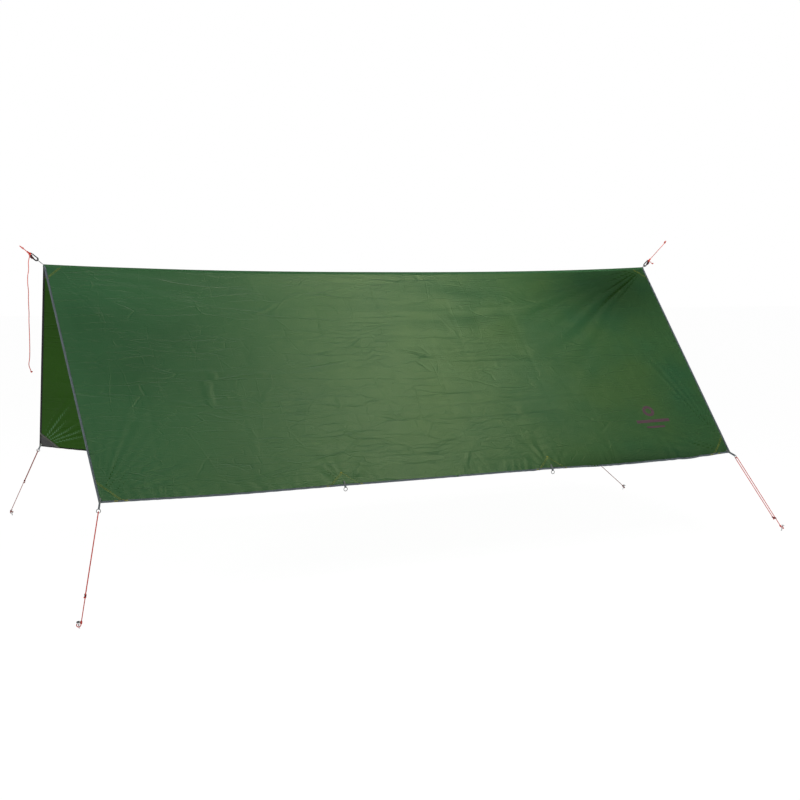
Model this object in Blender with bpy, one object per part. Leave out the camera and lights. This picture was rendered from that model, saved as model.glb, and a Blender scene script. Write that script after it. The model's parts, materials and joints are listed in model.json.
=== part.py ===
"""Tarp shelter: one cloth folded over a ridge, held by two ridge lines and four pegged guy lines.

Frame: origin at the middle of the ridge, +X along the ridge to the right, -Y to the front, +Z up.
The cloth panels hang from the ridge axis, and the ground lies GROUND_DROP below it. Lengths are metres.
"""
import math

import bmesh
import bpy
import numpy as np
from mathutils import Matrix, Vector

# Cloth
RIDGE_HALF = 1.800          # ridge centre to ridge end
HEM_HALF = 1.727            # the hem is a little shorter than the ridge
PANEL_WIDTH = 1.394         # ridge to hem, along the cloth
FRONT, BACK = -1, 1
HEM_DROP = {FRONT: (1.032, 1.032), BACK: (1.032, 1.100)}    # hem below ridge at the left and right corner
HEM_SAG = {FRONT: 0.015, BACK: 0.100}
SAG_POWER = 2.5             # the hem falls faster near its corners than a plain arc
CLOTH_THICK = 0.0024
PANEL_START = 0.009         # the panels start this far from the ridge axis
SEAM_RADIUS = 0.006
BINDING_WIDTH = 0.010
BINDING_THICK = 0.005
CLEARANCE = 0.0005
NORMAL_STEP = 0.002
SIDE_STEPS = 8
HEM_STEPS = 36

# Reinforcements, on the inner face of the panels
PATCH_THICK = 0.0010
PATCH_TIP = 0.04            # a patch's narrow end is cut off at this share
PATCH_GAP = 0.0008
CORNER_PATCH = (0.125, 0.115)    # along the side edge, along the hem
RIDGE_PATCH = (0.100, 0.100)     # along the side edge, along the ridge
HEM_PATCH = (0.172, 0.080)       # base, height
HEM_TIE_PLACES = (1 / 3, 2 / 3)  # shares of the hem, from the left

# Webbing loops and rings
STRAP_WIDTH = 0.008
STRAP_THICK = 0.0012
STRAP_INNER = 0.0038        # half the space between a loop's two legs
SEWN_LENGTH = 0.026         # how far a loop's legs run over the cloth
CORNER_INSET = 0.004        # the corner loops sit this far inside the side edge
CORNER_REACH = 0.030        # hem to the middle of a corner loop's bend
HEM_REACH = 0.0075          # hem to the middle of a hem loop's bend
RING_MEAN = 0.009
RING_WIRE = 0.0015
RING_OFFSET = 0.0004        # ring wire beyond the middle of the bend

# Guy lines
CORD_RADIUS = 0.0015
CORD_TURN = 0.0060          # radius of a guy's turn round its ring
EYE_RADIUS = 0.009
EYE_SWEEP = math.radians(300)
EYE_STEPS = 14
GROUND_DROP = 1.500
EYE_HEIGHT = 0.018          # middle of the eye above the ground
PEG_PLACES = {              # middle of each eye on the ground plan, and the tensioner's share of the guy
    "front_left": (-1.865, -1.190, 0.75),
    "front_right": (2.090, -0.970, 0.86),
    "back_left": (-1.853, 1.325, 0.48),
    "back_right": (2.030, 0.470, 0.62),
}
SOLVE_ROUNDS = 12           # the loop, the ring and the guy line up by repeated aiming
STRAND_STEP = 0.011         # spacing of the points along a straight strand

# Tensioner
TENSIONER_END = 0.0046
TENSIONER_NECK = 0.0026
TENSIONER_THICK = 0.005
TENSIONER_HOLE = 0.0020
TENSIONER_STEPS = 10
TENSIONER_ROUND = math.radians(130)     # half the sweep of each round end
TENSIONER_LEAN = math.radians(35)
STOPPER_LENGTH = 0.008

# Pegs
PEG_RADIUS = 0.003
PEG_TIP = 0.022
PEG_DEPTH = 0.135           # below the ground, along the peg
PEG_ABOVE = 0.030           # ground to the underside of the head
PEG_HEAD_RADIUS = 0.008
PEG_HEAD_THICK = 0.004
PEG_HEAD_EDGE = 0.0008
PEG_LEAN = math.radians(20)

# Ridge ends
RIDGE_LINE_RISE = {"left": math.radians(40), "right": math.radians(43)}
LOOP_WIRE = 0.0013
LOOP_BEND = 0.0052
LOOP_LENGTH = {"left": 0.0252, "right": 0.0052}
LOOP_START = 0.0074
LOOP_STEPS = 7
LOOP_SIDES = 8
HOOK_ROD = 0.0034
HOOK_HALF_WIDTH = 0.0075
HOOK_LENGTH = 0.046
GATE_PIVOT = 0.0365         # from the hook's near end
GATE_NOSE = 0.0105          # where the hook's free end stops and the gate starts
GATE_HEIGHT = 0.0036
GATE_WIDTH = 0.0052
GATE_GAP = 0.0003
GATE_NOSE_GAP = 0.0005
GATE_TAIL = 0.0016          # the gate's forked end reaches this far past the pivot
FORK_BACK = 0.0022          # the fork is cut this far before the pivot
TONGUE_WIDTH = 0.0020
TONGUE_HALF_HEIGHT = 0.0016
TONGUE_ROOT = 0.0058        # the tongue starts this far behind the pivot
ROD_STOP = 0.0045           # the hook's rod ends this far behind the pivot
PIN_RADIUS = 0.0007
BEND_STEPS = 10
HITCH_OFFSET = (0, -0.0060, -0.001)     # hook's far end to where the tail leaves the hitch
RIDGE_LINE_REACH = {"left": 0.132, "right": 0.234}   # ridge end to the middle of the line's tied eye
LINE_STEP = 0.008
LINE_EYE_RADIUS = 0.0065
LINE_EYE_SWEEP = math.radians(290)
LINE_EYE_STEPS = 12
TAIL_DROP = {"left": 0.580, "right": 0.019}
TAIL_STEP = {"left": 0.009, "right": 0.004}
TAIL_SWAY = {               # sideways shifts at even steps down a tail, away from the cloth
    "left": (0.0, 0.009, 0.010, 0.015, 0.016, 0.014, 0.015, 0.015, 0.015, 0.016, 0.016, 0.016, 0.016,
             0.017, 0.019, 0.023, 0.012),
    "right": (0.0, 0.0020, 0.0036, 0.0047, 0.0053, 0.0055),
}
TAIL_LEAN = {"left": 0.0, "right": 0.0250}     # how far a tail's end stands out to the front
TAIL_WAVE = 0.002           # waves across the view of the sway
TAIL_WAVE_TURN = 2.2

ROUND = 12                  # sides of rods, pegs and holes
RING_STEPS = 20
WIRE_SIDES = 6
STRAP_STEPS = 8             # round a loop's bend
TURN_STEPS = 8              # round a ring
CUTTER_LENGTH = 0.03
SHARP_ANGLE = math.radians(40)

X_AXIS = Vector((1, 0, 0))
Y_AXIS = Vector((0, 1, 0))
Z_AXIS = Vector((0, 0, 1))


def clear_scene():
    for item in list(bpy.data.objects):
        bpy.data.objects.remove(item, do_unlink=True)


def make_material(name, colour, roughness, metallic=0.0):
    material = bpy.data.materials.new(name)
    material.use_nodes = True
    shader = material.node_tree.nodes["Principled BSDF"]
    shader.inputs["Base Color"].default_value = (*colour, 1.0)
    shader.inputs["Roughness"].default_value = roughness
    shader.inputs["Metallic"].default_value = metallic
    return material


def make_materials():
    return {
        "cloth": make_material("green_cloth", (0.075, 0.150, 0.070), 0.6),
        "binding": make_material("grey_binding", (0.10, 0.12, 0.12), 0.8),
        "patch": make_material("black_patch", (0.008, 0.008, 0.008), 0.7),
        "webbing": make_material("grey_webbing", (0.16, 0.19, 0.20), 0.8),
        "ring": make_material("steel_ring", (0.55, 0.55, 0.53), 0.3, 1.0),
        "cord": make_material("red_cord", (0.60, 0.08, 0.04), 0.75),
        "tensioner": make_material("dark_red_tensioner", (0.16, 0.01, 0.02), 0.35, 0.8),
        "peg": make_material("aluminium_peg", (0.60, 0.61, 0.62), 0.35, 1.0),
        "hook": make_material("black_hook", (0.012, 0.012, 0.013), 0.4),
        "pin": make_material("steel_pin", (0.45, 0.45, 0.45), 0.3, 1.0),
    }


def add_object(name, data, material, matrix=None):
    item = bpy.data.objects.new(name, data)
    bpy.context.scene.collection.objects.link(item)
    if not data.materials:
        data.materials.append(material)
    if matrix is not None:
        item.matrix_world = matrix
    return item


def mesh_from(name, points, faces, smooth=False):
    """A mesh with its faces pointing out."""
    mesh = bpy.data.meshes.new(name)
    mesh.from_pydata([tuple(p) for p in points], [], faces)
    shape = bmesh.new()
    shape.from_mesh(mesh)
    bmesh.ops.recalc_face_normals(shape, faces=shape.faces)
    shape.to_mesh(mesh)
    shape.free()
    if smooth:
        mesh.shade_smooth()
        mesh.set_sharp_from_angle(angle=SHARP_ANGLE)
    return mesh


def frame_matrix(origin, x_axis, y_axis, z_axis):
    """World matrix of a local frame, from its origin and three unit axes."""
    turn = Matrix((x_axis, y_axis, z_axis)).transposed()
    return Matrix.Translation(origin) @ turn.to_4x4()


# ---------------------------------------------------------------- cloth surface

def half_length(reach):
    """Half the panel's length at a distance from the ridge axis, along the cloth."""
    return RIDGE_HALF + (HEM_HALF - RIDGE_HALF) * reach / PANEL_WIDTH


def slope_frame(side, share):
    """Unit vectors down the slope and out of the cloth, at a share of the length."""
    left, right = HEM_DROP[side]
    sag = HEM_SAG[side] * (1 - abs(2 * share - 1) ** SAG_POWER)
    fall = (left + (right - left) * share + sag) / PANEL_WIDTH
    out = math.sqrt(1 - fall * fall)
    return Vector((0, side * out, -fall)), Vector((0, side * fall, out))


def cloth_point(side, along, reach, lift=0.0):
    """The point at a distance along X and down the cloth, lifted off its middle surface."""
    share = 0.5 + along / (2 * half_length(reach))
    down, out = slope_frame(side, min(max(share, 0.0), 1.0))
    return Vector((along, 0, 0)) + down * reach + out * lift


def cloth_normal(side, along, reach):
    """Unit vector out of the cloth at a point, from its neighbours on the surface."""
    inward = -NORMAL_STEP if along > 0 else NORMAL_STEP
    here = cloth_point(side, along, reach)
    beside = (cloth_point(side, along + inward, reach) - here) / inward
    above = (cloth_point(side, along, reach - NORMAL_STEP) - here) / -NORMAL_STEP
    return (above.cross(beside) * side).normalized()


def grid_solid(name, rows, side, low, high, smooth=False):
    """A closed sheet between two lifts, from rows of (along, reach) points."""
    height, width = len(rows), len(rows[0])
    points = [cloth_point(side, a, r, lift) for lift in (low, high) for row in rows for a, r in row]
    layer = height * width
    faces = []
    for i in range(height - 1):
        for j in range(width - 1):
            corner = i * width + j
            quad = (corner, corner + 1, corner + width + 1, corner + width)
            for base in (0, layer):
                faces.append((quad[0] + base, quad[1] + base, quad[2] + base))
                faces.append((quad[0] + base, quad[2] + base, quad[3] + base))
    rim = list(range(width))
    rim += [i * width + width - 1 for i in range(1, height)]
    rim += [(height - 1) * width + j for j in range(width - 2, -1, -1)]
    rim += [i * width for i in range(height - 2, 0, -1)]
    for here, there in zip(rim, rim[1:] + rim[:1]):
        faces.append((here, there, there + layer, here + layer))
    return mesh_from(name, points, faces, smooth)


def hem_shares():
    return [i / HEM_STEPS for i in range(HEM_STEPS + 1)]


def panel_mesh(name, side):
    inset = BINDING_WIDTH + CLEARANCE
    rows = []
    for i in range(SIDE_STEPS + 1):
        reach = PANEL_START + (PANEL_WIDTH - inset - PANEL_START) * i / SIDE_STEPS
        half = half_length(reach)
        row = [half * (2 * s - 1) for s in hem_shares()]
        row[0] += inset
        row[-1] -= inset
        rows.append([(a, reach) for a in row])
    return grid_solid(name, rows, side, -CLOTH_THICK / 2, CLOTH_THICK / 2)


def binding_mesh(name, side):
    """One tape round the side edge, the hem and the other side edge."""
    outer, inner = [], []
    reaches = [PANEL_START + (PANEL_WIDTH - 2 * BINDING_WIDTH - PANEL_START) * i / SIDE_STEPS
               for i in range(SIDE_STEPS + 1)]
    for reach in reaches:
        outer.append((-half_length(reach), reach))
        inner.append((BINDING_WIDTH - half_length(reach), reach))
    low = PANEL_WIDTH - BINDING_WIDTH
    outer.append((-HEM_HALF, PANEL_WIDTH))
    inner.append((BINDING_WIDTH - half_length(low), low))
    for share in hem_shares()[1:-1]:
        outer.append((HEM_HALF * (2 * share - 1), PANEL_WIDTH))
        inner.append((half_length(low) * (2 * share - 1), low))
    left = list(zip(outer, inner))[: SIDE_STEPS + 2]
    outer += [(-a[0], a[1]) for a, _ in reversed(left)]
    inner += [(-b[0], b[1]) for _, b in reversed(left)]
    return grid_solid(name, [outer, inner], side, -BINDING_THICK / 2, BINDING_THICK / 2)


def patch_solid(name, side, corners, splits=3):
    """A triangular patch under the cloth; corners are (along, reach), the first opposite the base."""
    tip, foot_a, foot_b = (np.array(c) for c in corners)
    rows = []
    for i in range(splits + 1):
        reach = PATCH_TIP + (1 - PATCH_TIP) * i / splits
        start = tip + (foot_a - tip) * reach
        stop = tip + (foot_b - tip) * reach
        rows.append([tuple(start + (stop - start) * j / splits) for j in range(splits + 1)])
    top = -CLOTH_THICK / 2 - PATCH_GAP
    return grid_solid(name, rows, side, top - PATCH_THICK, top)


def add_panels(materials):
    for side, label in ((FRONT, "front"), (BACK, "back")):
        add_object(f"{label}_panel", panel_mesh(f"{label}_panel", side), materials["cloth"])
        add_object(f"{label}_binding", binding_mesh(f"{label}_binding", side), materials["binding"])
        inset = BINDING_WIDTH + 2 * CLEARANCE
        hem = PANEL_WIDTH - inset
        for hand, word in ((-1, "left"), (1, "right")):
            edge_low = hand * (half_length(hem) - inset)
            edge_mid = hand * (half_length(hem - CORNER_PATCH[0]) - inset)
            edge_in = edge_low - hand * CORNER_PATCH[1]
            corners = ((edge_low, hem), (edge_mid, hem - CORNER_PATCH[0]), (edge_in, hem))
            patch = patch_solid("corner_patch", side, corners)
            add_object(f"{label}_{word}_corner_patch", patch, materials["patch"])
            start = PANEL_START + CLEARANCE
            edge_top = hand * (half_length(start) - inset)
            edge_end = hand * (half_length(start + RIDGE_PATCH[0]) - inset)
            edge_in = edge_top - hand * RIDGE_PATCH[1]
            corners = ((edge_top, start), (edge_end, start + RIDGE_PATCH[0]), (edge_in, start))
            patch = patch_solid("ridge_patch", side, corners)
            add_object(f"{label}_{word}_ridge_patch", patch, materials["patch"])
        for number, share in enumerate(HEM_TIE_PLACES, 1):
            middle = half_length(hem) * (2 * share - 1)
            base, height = HEM_PATCH
            corners = ((middle, hem - height), (middle - base / 2, hem), (middle + base / 2, hem))
            patch = patch_solid("hem_patch", side, corners)
            add_object(f"{label}_hem_patch_{number}", patch, materials["patch"])


# ---------------------------------------------------------------- loops and rings

def strap_mesh(name, sewn, reach):
    """A folded strap: its legs lie either side of the cloth, and its bend points along local +Z.

    Local X is the strap's width and local Y is out of the cloth. The bend's middle is the origin.
    """
    radius = STRAP_INNER + STRAP_THICK
    inner = [(STRAP_INNER, -sewn - reach)]
    outer = [(radius, -sewn - reach)]
    for i in range(STRAP_STEPS + 1):
        angle = math.pi * i / STRAP_STEPS
        inner.append((STRAP_INNER * math.cos(angle), STRAP_INNER * math.sin(angle)))
        outer.append((radius * math.cos(angle), radius * math.sin(angle)))
    inner.append((-STRAP_INNER, -sewn - reach))
    outer.append((-radius, -sewn - reach))
    count = len(inner)
    half = STRAP_WIDTH / 2
    points = [(x, y, z) for x in (-half, half) for line in (inner, outer) for y, z in line]
    faces = []
    for i in range(count - 1):
        for a, b in ((0, count), (count, 3 * count), (3 * count, 2 * count), (2 * count, 0)):
            faces.append((a + i, a + i + 1, b + i + 1, b + i))
    for end in (0, count - 1):
        faces.append((end, end + count, end + 3 * count, end + 2 * count))
    return mesh_from(name, points, faces, smooth=True)


def ring_mesh(name, mean, wire, steps, sides):
    """A ring in the local XZ plane with its middle at the origin."""
    points = []
    for i in range(steps):
        turn = 2 * math.pi * i / steps
        for j in range(sides):
            tilt = 2 * math.pi * j / sides
            radius = mean + wire * math.cos(tilt)
            points.append((radius * math.cos(turn), wire * math.sin(tilt), radius * math.sin(turn)))
    faces = []
    for i in range(steps):
        for j in range(sides):
            a, b = i * sides, ((i + 1) % steps) * sides
            k = (j + 1) % sides
            faces.append((a + j, b + j, b + k, a + k))
    return mesh_from(name, points, faces, smooth=True)


def catmull_rom(points, step):
    """Points at about one step apart on a smooth curve through the given ones."""
    points = [np.array(p, float) for p in points]
    ends = [2 * points[0] - points[1]] + points + [2 * points[-1] - points[-2]]
    out = []
    for i in range(1, len(ends) - 2):
        p0, p1, p2, p3 = ends[i - 1:i + 3]
        count = max(1, round(float(np.linalg.norm(p2 - p1)) / step))
        for j in range(count):
            t = j / count
            out.append(0.5 * (2 * p1 + (p2 - p0) * t + (2 * p0 - 5 * p1 + 4 * p2 - p3) * t * t
                              + (3 * p1 - p0 - 3 * p2 + p3) * t ** 3))
    return out + [points[-1]]


def add_cord(name, points, radius, material):
    """A tube of the cord's thickness along a list of points."""
    curve = bpy.data.curves.new(name, "CURVE")
    curve.dimensions = "3D"
    curve.bevel_depth = radius
    curve.bevel_resolution = 2
    curve.use_fill_caps = True
    curve.twist_mode = "MINIMUM"
    spline = curve.splines.new("POLY")
    spline.points.add(len(points) - 1)
    for node, place in zip(spline.points, points):
        node.co = (*place, 1.0)
    return add_object(name, curve, material)


def arc(centre, first, second, radius, start, stop, steps):
    """Points on a circle in the plane of two unit vectors."""
    angles = [start + (stop - start) * i / steps for i in range(steps + 1)]
    return [centre + (first * math.cos(a) + second * math.sin(a)) * radius for a in angles]


def straight(start, stop, step):
    count = max(1, math.ceil((stop - start).length / step))
    return [start.lerp(stop, i / count) for i in range(count + 1)]


# ---------------------------------------------------------------- guy lines

def corner_strap_frame(side, hand, guy):
    """Direction and width axes of a corner loop, which points along the guy in the cloth's plane."""
    out = cloth_normal(side, hand * HEM_HALF, PANEL_WIDTH)
    direction = (guy - out * guy.dot(out)).normalized()
    return direction, out.cross(direction).normalized()


def peg_axis(guy):
    away = Vector((guy.x, guy.y, 0)).normalized()
    return (Z_AXIS * math.cos(PEG_LEAN) + away * math.sin(PEG_LEAN)).normalized()


def guy_layout(side, hand, place):
    """Every axis and point of one guy: its ring's contact, direction, strands, eye and peg."""
    corner = cloth_point(side, hand * (HEM_HALF - CORNER_INSET), PANEL_WIDTH)
    eye_middle = Vector((place[0], place[1], EYE_HEIGHT - GROUND_DROP))
    guy = (eye_middle - corner).normalized()
    for _ in range(SOLVE_ROUNDS):
        direction, width = corner_strap_frame(side, hand, guy)
        bend = corner + direction * CORNER_REACH
        contact = bend + direction * RING_OFFSET
        across = guy.cross(width).normalized()
        peg = peg_axis(guy)
        eye_side = guy.cross((peg - guy * peg.dot(guy)).normalized())
        aim = eye_middle + across * CORD_TURN - eye_side * EYE_RADIUS
        guy = (aim - contact).normalized()
    length = (aim - contact).dot(guy)
    return {"corner": corner, "direction": direction, "width": width, "bend": bend, "contact": contact,
            "guy": guy, "across": guy.cross(width).normalized(), "eye_side": eye_side, "peg": peg,
            "eye_middle": eye_middle, "length": length, "tension_at": length * place[2]}


def guy_route(lay):
    """From the stopper under the tensioner, up, round the ring, down to the peg and round it."""
    guy, across = lay["guy"], lay["across"]
    turn_middle = lay["contact"] + guy * (2 * RING_MEAN)
    strand_b = turn_middle + across * CORD_TURN
    strand_a = turn_middle - across * CORD_TURN
    stop_b = lay["contact"] + guy * (lay["tension_at"] + STOPPER_LENGTH) + across * CORD_TURN
    touch = lay["contact"] + guy * lay["length"] - across * CORD_TURN
    route = straight(stop_b, strand_b, STRAND_STEP)
    route += arc(turn_middle, across, -guy, CORD_TURN, 0, math.pi, TURN_STEPS)[1:-1]
    route += straight(strand_a, touch, STRAND_STEP)
    middle = touch + lay["eye_side"] * EYE_RADIUS
    route += arc(middle, -lay["eye_side"], guy, EYE_RADIUS, 0, EYE_SWEEP, EYE_STEPS)[1:]
    return route


def tensioner_mesh(materials):
    """A two-hole bar: holes along local Z, one at each end of local Y, leaning along Z from end to end."""
    outline = []
    for sign in (1, -1):
        for i in range(TENSIONER_STEPS + 1):
            angle = TENSIONER_ROUND * (2 * i / TENSIONER_STEPS - 1)
            outline.append((sign * TENSIONER_END * math.sin(angle),
                            sign * (CORD_TURN + TENSIONER_END * math.cos(angle))))
        outline.append((sign * TENSIONER_NECK, 0.0))
    lean = math.tan(TENSIONER_LEAN)
    count = len(outline)
    points = [(x, y, y * lean + z) for z in (-TENSIONER_THICK / 2, TENSIONER_THICK / 2) for x, y in outline]
    faces = [tuple(range(count)), tuple(range(count, 2 * count))]
    faces += [(i, (i + 1) % count, (i + 1) % count + count, i + count) for i in range(count)]
    body = add_object("tensioner_blank", mesh_from("tensioner_blank", points, faces), materials["tensioner"])
    for sign in (1, -1):
        cut_round(body, Vector((0, sign * CORD_TURN, 0)), Z_AXIS, TENSIONER_HOLE)
    return baked(body, "tensioner")


def cut_round(body, middle, axis, radius):
    """Take a round hole out of an object."""
    shape = bmesh.new()
    bmesh.ops.create_cone(shape, cap_ends=True, segments=ROUND, radius1=radius, radius2=radius,
                          depth=CUTTER_LENGTH)
    mesh = bpy.data.meshes.new("hole_cutter")
    shape.to_mesh(mesh)
    shape.free()
    cutter = bpy.data.objects.new("hole_cutter", mesh)
    bpy.context.scene.collection.objects.link(cutter)
    cutter.matrix_world = Matrix.Translation(middle) @ axis.to_track_quat("Z", "Y").to_matrix().to_4x4()
    cutter.hide_render = True
    cutter.display_type = "WIRE"
    add_boolean(body, cutter, "DIFFERENCE")


def add_boolean(body, other, operation):
    modifier = body.modifiers.new(operation.lower(), "BOOLEAN")
    modifier.operation = operation
    modifier.solver = "EXACT"
    modifier.object = other


def baked(body, name):
    """The evaluated mesh of an object; the object and the cutters on it are removed."""
    bpy.context.view_layer.update()
    graph = bpy.context.evaluated_depsgraph_get()
    mesh = bpy.data.meshes.new_from_object(body.evaluated_get(graph))
    mesh.name = name
    others = [m.object for m in body.modifiers if m.type == "BOOLEAN"]
    bpy.data.objects.remove(body, do_unlink=True)
    for item in others:
        bpy.data.objects.remove(item, do_unlink=True)
    return mesh


def peg_mesh():
    """A turned peg along local Z with the ground at local zero."""
    top = PEG_ABOVE + PEG_HEAD_THICK
    flat = PEG_HEAD_RADIUS - PEG_HEAD_EDGE
    profile = [(0, -PEG_DEPTH), (PEG_RADIUS, -PEG_DEPTH + PEG_TIP), (PEG_RADIUS, PEG_ABOVE),
               (flat, PEG_ABOVE), (PEG_HEAD_RADIUS, PEG_ABOVE + PEG_HEAD_EDGE),
               (PEG_HEAD_RADIUS, top - PEG_HEAD_EDGE), (flat, top)]
    points, rings = [], []
    for radius, height in profile:
        if radius == 0:
            rings.append([len(points)] * ROUND)
            points.append((0, 0, height))
            continue
        rings.append(list(range(len(points), len(points) + ROUND)))
        angles = [2 * math.pi * i / ROUND for i in range(ROUND)]
        points += [(radius * math.cos(a), radius * math.sin(a), height) for a in angles]
    faces = [tuple(rings[-1])]
    for low, high in zip(rings, rings[1:]):
        for i in range(ROUND):
            j = (i + 1) % ROUND
            face = (low[i], high[i], high[j]) if low[i] == low[j] else (low[i], low[j], high[j], high[i])
            faces.append(face)
    return mesh_from("peg", points, faces, smooth=True)


def add_guys(materials):
    strap = strap_mesh("corner_loop", SEWN_LENGTH, CORNER_REACH)
    ring = ring_mesh("corner_ring", RING_MEAN, RING_WIRE, RING_STEPS, WIRE_SIDES)
    tensioner = tensioner_mesh(materials)
    peg = peg_mesh()
    for side, label in ((FRONT, "front"), (BACK, "back")):
        for hand, word in ((-1, "left"), (1, "right")):
            name = f"{label}_{word}"
            lay = guy_layout(side, hand, PEG_PLACES[name])
            guy, width, direction = lay["guy"], lay["width"], lay["direction"]
            strap_frame = frame_matrix(lay["bend"], width, direction.cross(width), direction)
            add_object(f"{name}_corner_loop", strap, materials["webbing"], strap_frame)
            across = lay["across"]
            ring_frame = frame_matrix(lay["contact"] + guy * RING_MEAN, width, across, guy)
            add_object(f"{name}_corner_ring", ring, materials["ring"], ring_frame)
            add_cord(f"{name}_guy_line", guy_route(lay), CORD_RADIUS, materials["cord"])
            bar_frame = frame_matrix(lay["contact"] + guy * lay["tension_at"], -width, -across, guy)
            add_object(f"{name}_tensioner", tensioner, materials["tensioner"], bar_frame)
            up = lay["peg"]
            root = lay["eye_middle"] - up * (EYE_HEIGHT / up.z)
            side_axis = up.cross(X_AXIS).normalized()
            peg_frame = frame_matrix(root, side_axis.cross(up), side_axis, up)
            add_object(f"{name}_peg", peg, materials["peg"], peg_frame)


def add_hem_ties(materials):
    strap = strap_mesh("hem_loop", SEWN_LENGTH, HEM_REACH)
    ring = ring_mesh("hem_ring", RING_MEAN, RING_WIRE, RING_STEPS, WIRE_SIDES)
    for side, label in ((FRONT, "front"), (BACK, "back")):
        for number, share in enumerate(HEM_TIE_PLACES, 1):
            place = HEM_HALF * (2 * share - 1)
            edge = cloth_point(side, place, PANEL_WIDTH)
            out = cloth_normal(side, place, PANEL_WIDTH)
            width = (X_AXIS - out * X_AXIS.dot(out)).normalized()
            down = width.cross(out) * (1 if width.cross(out).z < 0 else -1)
            bend = edge + down * HEM_REACH
            add_object(f"{label}_hem_loop_{number}", strap, materials["webbing"],
                       frame_matrix(bend, width, down.cross(width), down))
            contact = bend + down * RING_OFFSET
            ring_frame = frame_matrix(contact - Z_AXIS * RING_MEAN, X_AXIS, Y_AXIS, Z_AXIS)
            add_object(f"{label}_hem_ring_{number}", ring, materials["ring"], ring_frame)


# ---------------------------------------------------------------- ridge ends

def tube_mesh(name, points, radius, sides, closed):
    """A round rod along planar or gently turning points."""
    count = len(points)
    rings, verts = [], []
    reference = None
    for i, place in enumerate(points):
        before = points[i - 1] if closed or i > 0 else place
        after = points[(i + 1) % count] if closed or i < count - 1 else place
        tangent = (after - before).normalized()
        if reference is None:
            reference = tangent.orthogonal()
        first = (reference - tangent * reference.dot(tangent)).normalized()
        reference = first
        second = tangent.cross(first)
        rings.append(range(len(verts), len(verts) + sides))
        verts += [place + (first * math.cos(2 * math.pi * j / sides)
                           + second * math.sin(2 * math.pi * j / sides)) * radius for j in range(sides)]
    faces = []
    pairs = list(zip(rings, rings[1:])) + ([(rings[-1], rings[0])] if closed else [])
    for a, b in pairs:
        faces += [(a[j], a[(j + 1) % sides], b[(j + 1) % sides], b[j]) for j in range(sides)]
    if not closed:
        faces += [tuple(rings[0]), tuple(rings[-1])]
    return mesh_from(name, verts, faces, smooth=True)


def stadium(first, second, start, length, bend, steps):
    """A closed loop with two straight sides along the first axis and a half circle at each end."""
    near = arc(first * start, first, second, bend, math.pi / 2, 1.5 * math.pi, steps)
    far = arc(first * (start + length), first, second, bend, -math.pi / 2, math.pi / 2, steps)
    return near + far


def hook_parts(materials):
    """The hook's body and gate in the hook's own frame: X along it, Y through it, Z towards the gate."""
    bend = HOOK_HALF_WIDTH
    route = [Vector((GATE_NOSE, 0, bend))]
    route += arc(Vector((bend, 0, 0)), -X_AXIS, Z_AXIS, bend, math.pi / 2, -math.pi / 2, BEND_STEPS)
    far = Vector((HOOK_LENGTH - bend, 0, 0))
    stop = math.acos((GATE_PIVOT + ROD_STOP - far.x) / bend)
    route += arc(far, X_AXIS, Z_AXIS, bend, -math.pi / 2, stop, BEND_STEPS)
    body = add_object("hook_blank", tube_mesh("hook_blank", route, HOOK_ROD, ROUND, False), materials["hook"])
    low = (GATE_PIVOT - TONGUE_HALF_HEIGHT, -TONGUE_WIDTH / 2, bend - TONGUE_HALF_HEIGHT)
    high = (GATE_PIVOT + TONGUE_ROOT, TONGUE_WIDTH / 2, bend + TONGUE_HALF_HEIGHT)
    tongue = box_mesh("tongue", low, high)
    other = add_object("tongue", tongue, materials["hook"])
    add_boolean(body, other, "UNION")
    pivot = Vector((GATE_PIVOT, 0, bend))
    cut_round(body, pivot, Y_AXIS, PIN_RADIUS + GATE_GAP)
    hook = baked(body, "ridge_hook")

    tip = GATE_NOSE + GATE_NOSE_GAP
    tail = GATE_PIVOT + GATE_TAIL
    half = GATE_WIDTH / 2
    slot = TONGUE_WIDTH / 2 + GATE_GAP
    back = GATE_PIVOT - FORK_BACK
    outline = [(tip, -half), (tail, -half), (tail, -slot), (back, -slot), (back, slot), (tail, slot),
               (tail, half), (tip, half)]
    low, high = bend - GATE_HEIGHT / 2, bend + GATE_HEIGHT / 2
    count = len(outline)
    points = [(x, y, z) for z in (low, high) for x, y in outline]
    faces = [tuple(range(count)), tuple(range(count, 2 * count))]
    faces += [(i, (i + 1) % count, (i + 1) % count + count, i + count) for i in range(count)]
    bar = add_object("gate_blank", mesh_from("gate_blank", points, faces), materials["hook"])
    cut_round(bar, pivot, Y_AXIS, PIN_RADIUS + GATE_GAP)
    return hook, baked(bar, "hook_gate"), pivot


def box_mesh(name, low, high):
    shape = bmesh.new()
    size = [b - a for a, b in zip(low, high)]
    middle = [(a + b) / 2 for a, b in zip(low, high)]
    bmesh.ops.create_cube(shape, size=1.0, matrix=Matrix.Translation(middle) @ Matrix.Diagonal((*size, 1)))
    mesh = bpy.data.meshes.new(name)
    shape.to_mesh(mesh)
    shape.free()
    return mesh


def pin_mesh(length):
    shape = bmesh.new()
    turn = Matrix.Rotation(math.pi / 2, 4, "X")
    bmesh.ops.create_cone(shape, cap_ends=True, segments=ROUND, radius1=PIN_RADIUS, radius2=PIN_RADIUS,
                          depth=length, matrix=turn)
    mesh = bpy.data.meshes.new("gate_pin")
    shape.to_mesh(mesh)
    shape.free()
    return mesh


def tail_route(start, drop, sway, lean, hand):
    """A limp tail that leaves the hitch and hangs down with slight waves."""
    route = []
    for i, shift in enumerate(sway):
        wave = TAIL_WAVE * math.sin(TAIL_WAVE_TURN * i)
        share = i / (len(sway) - 1)
        route.append(start + Vector((hand * shift, wave - lean * share, -drop * share)))
    return route


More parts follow.
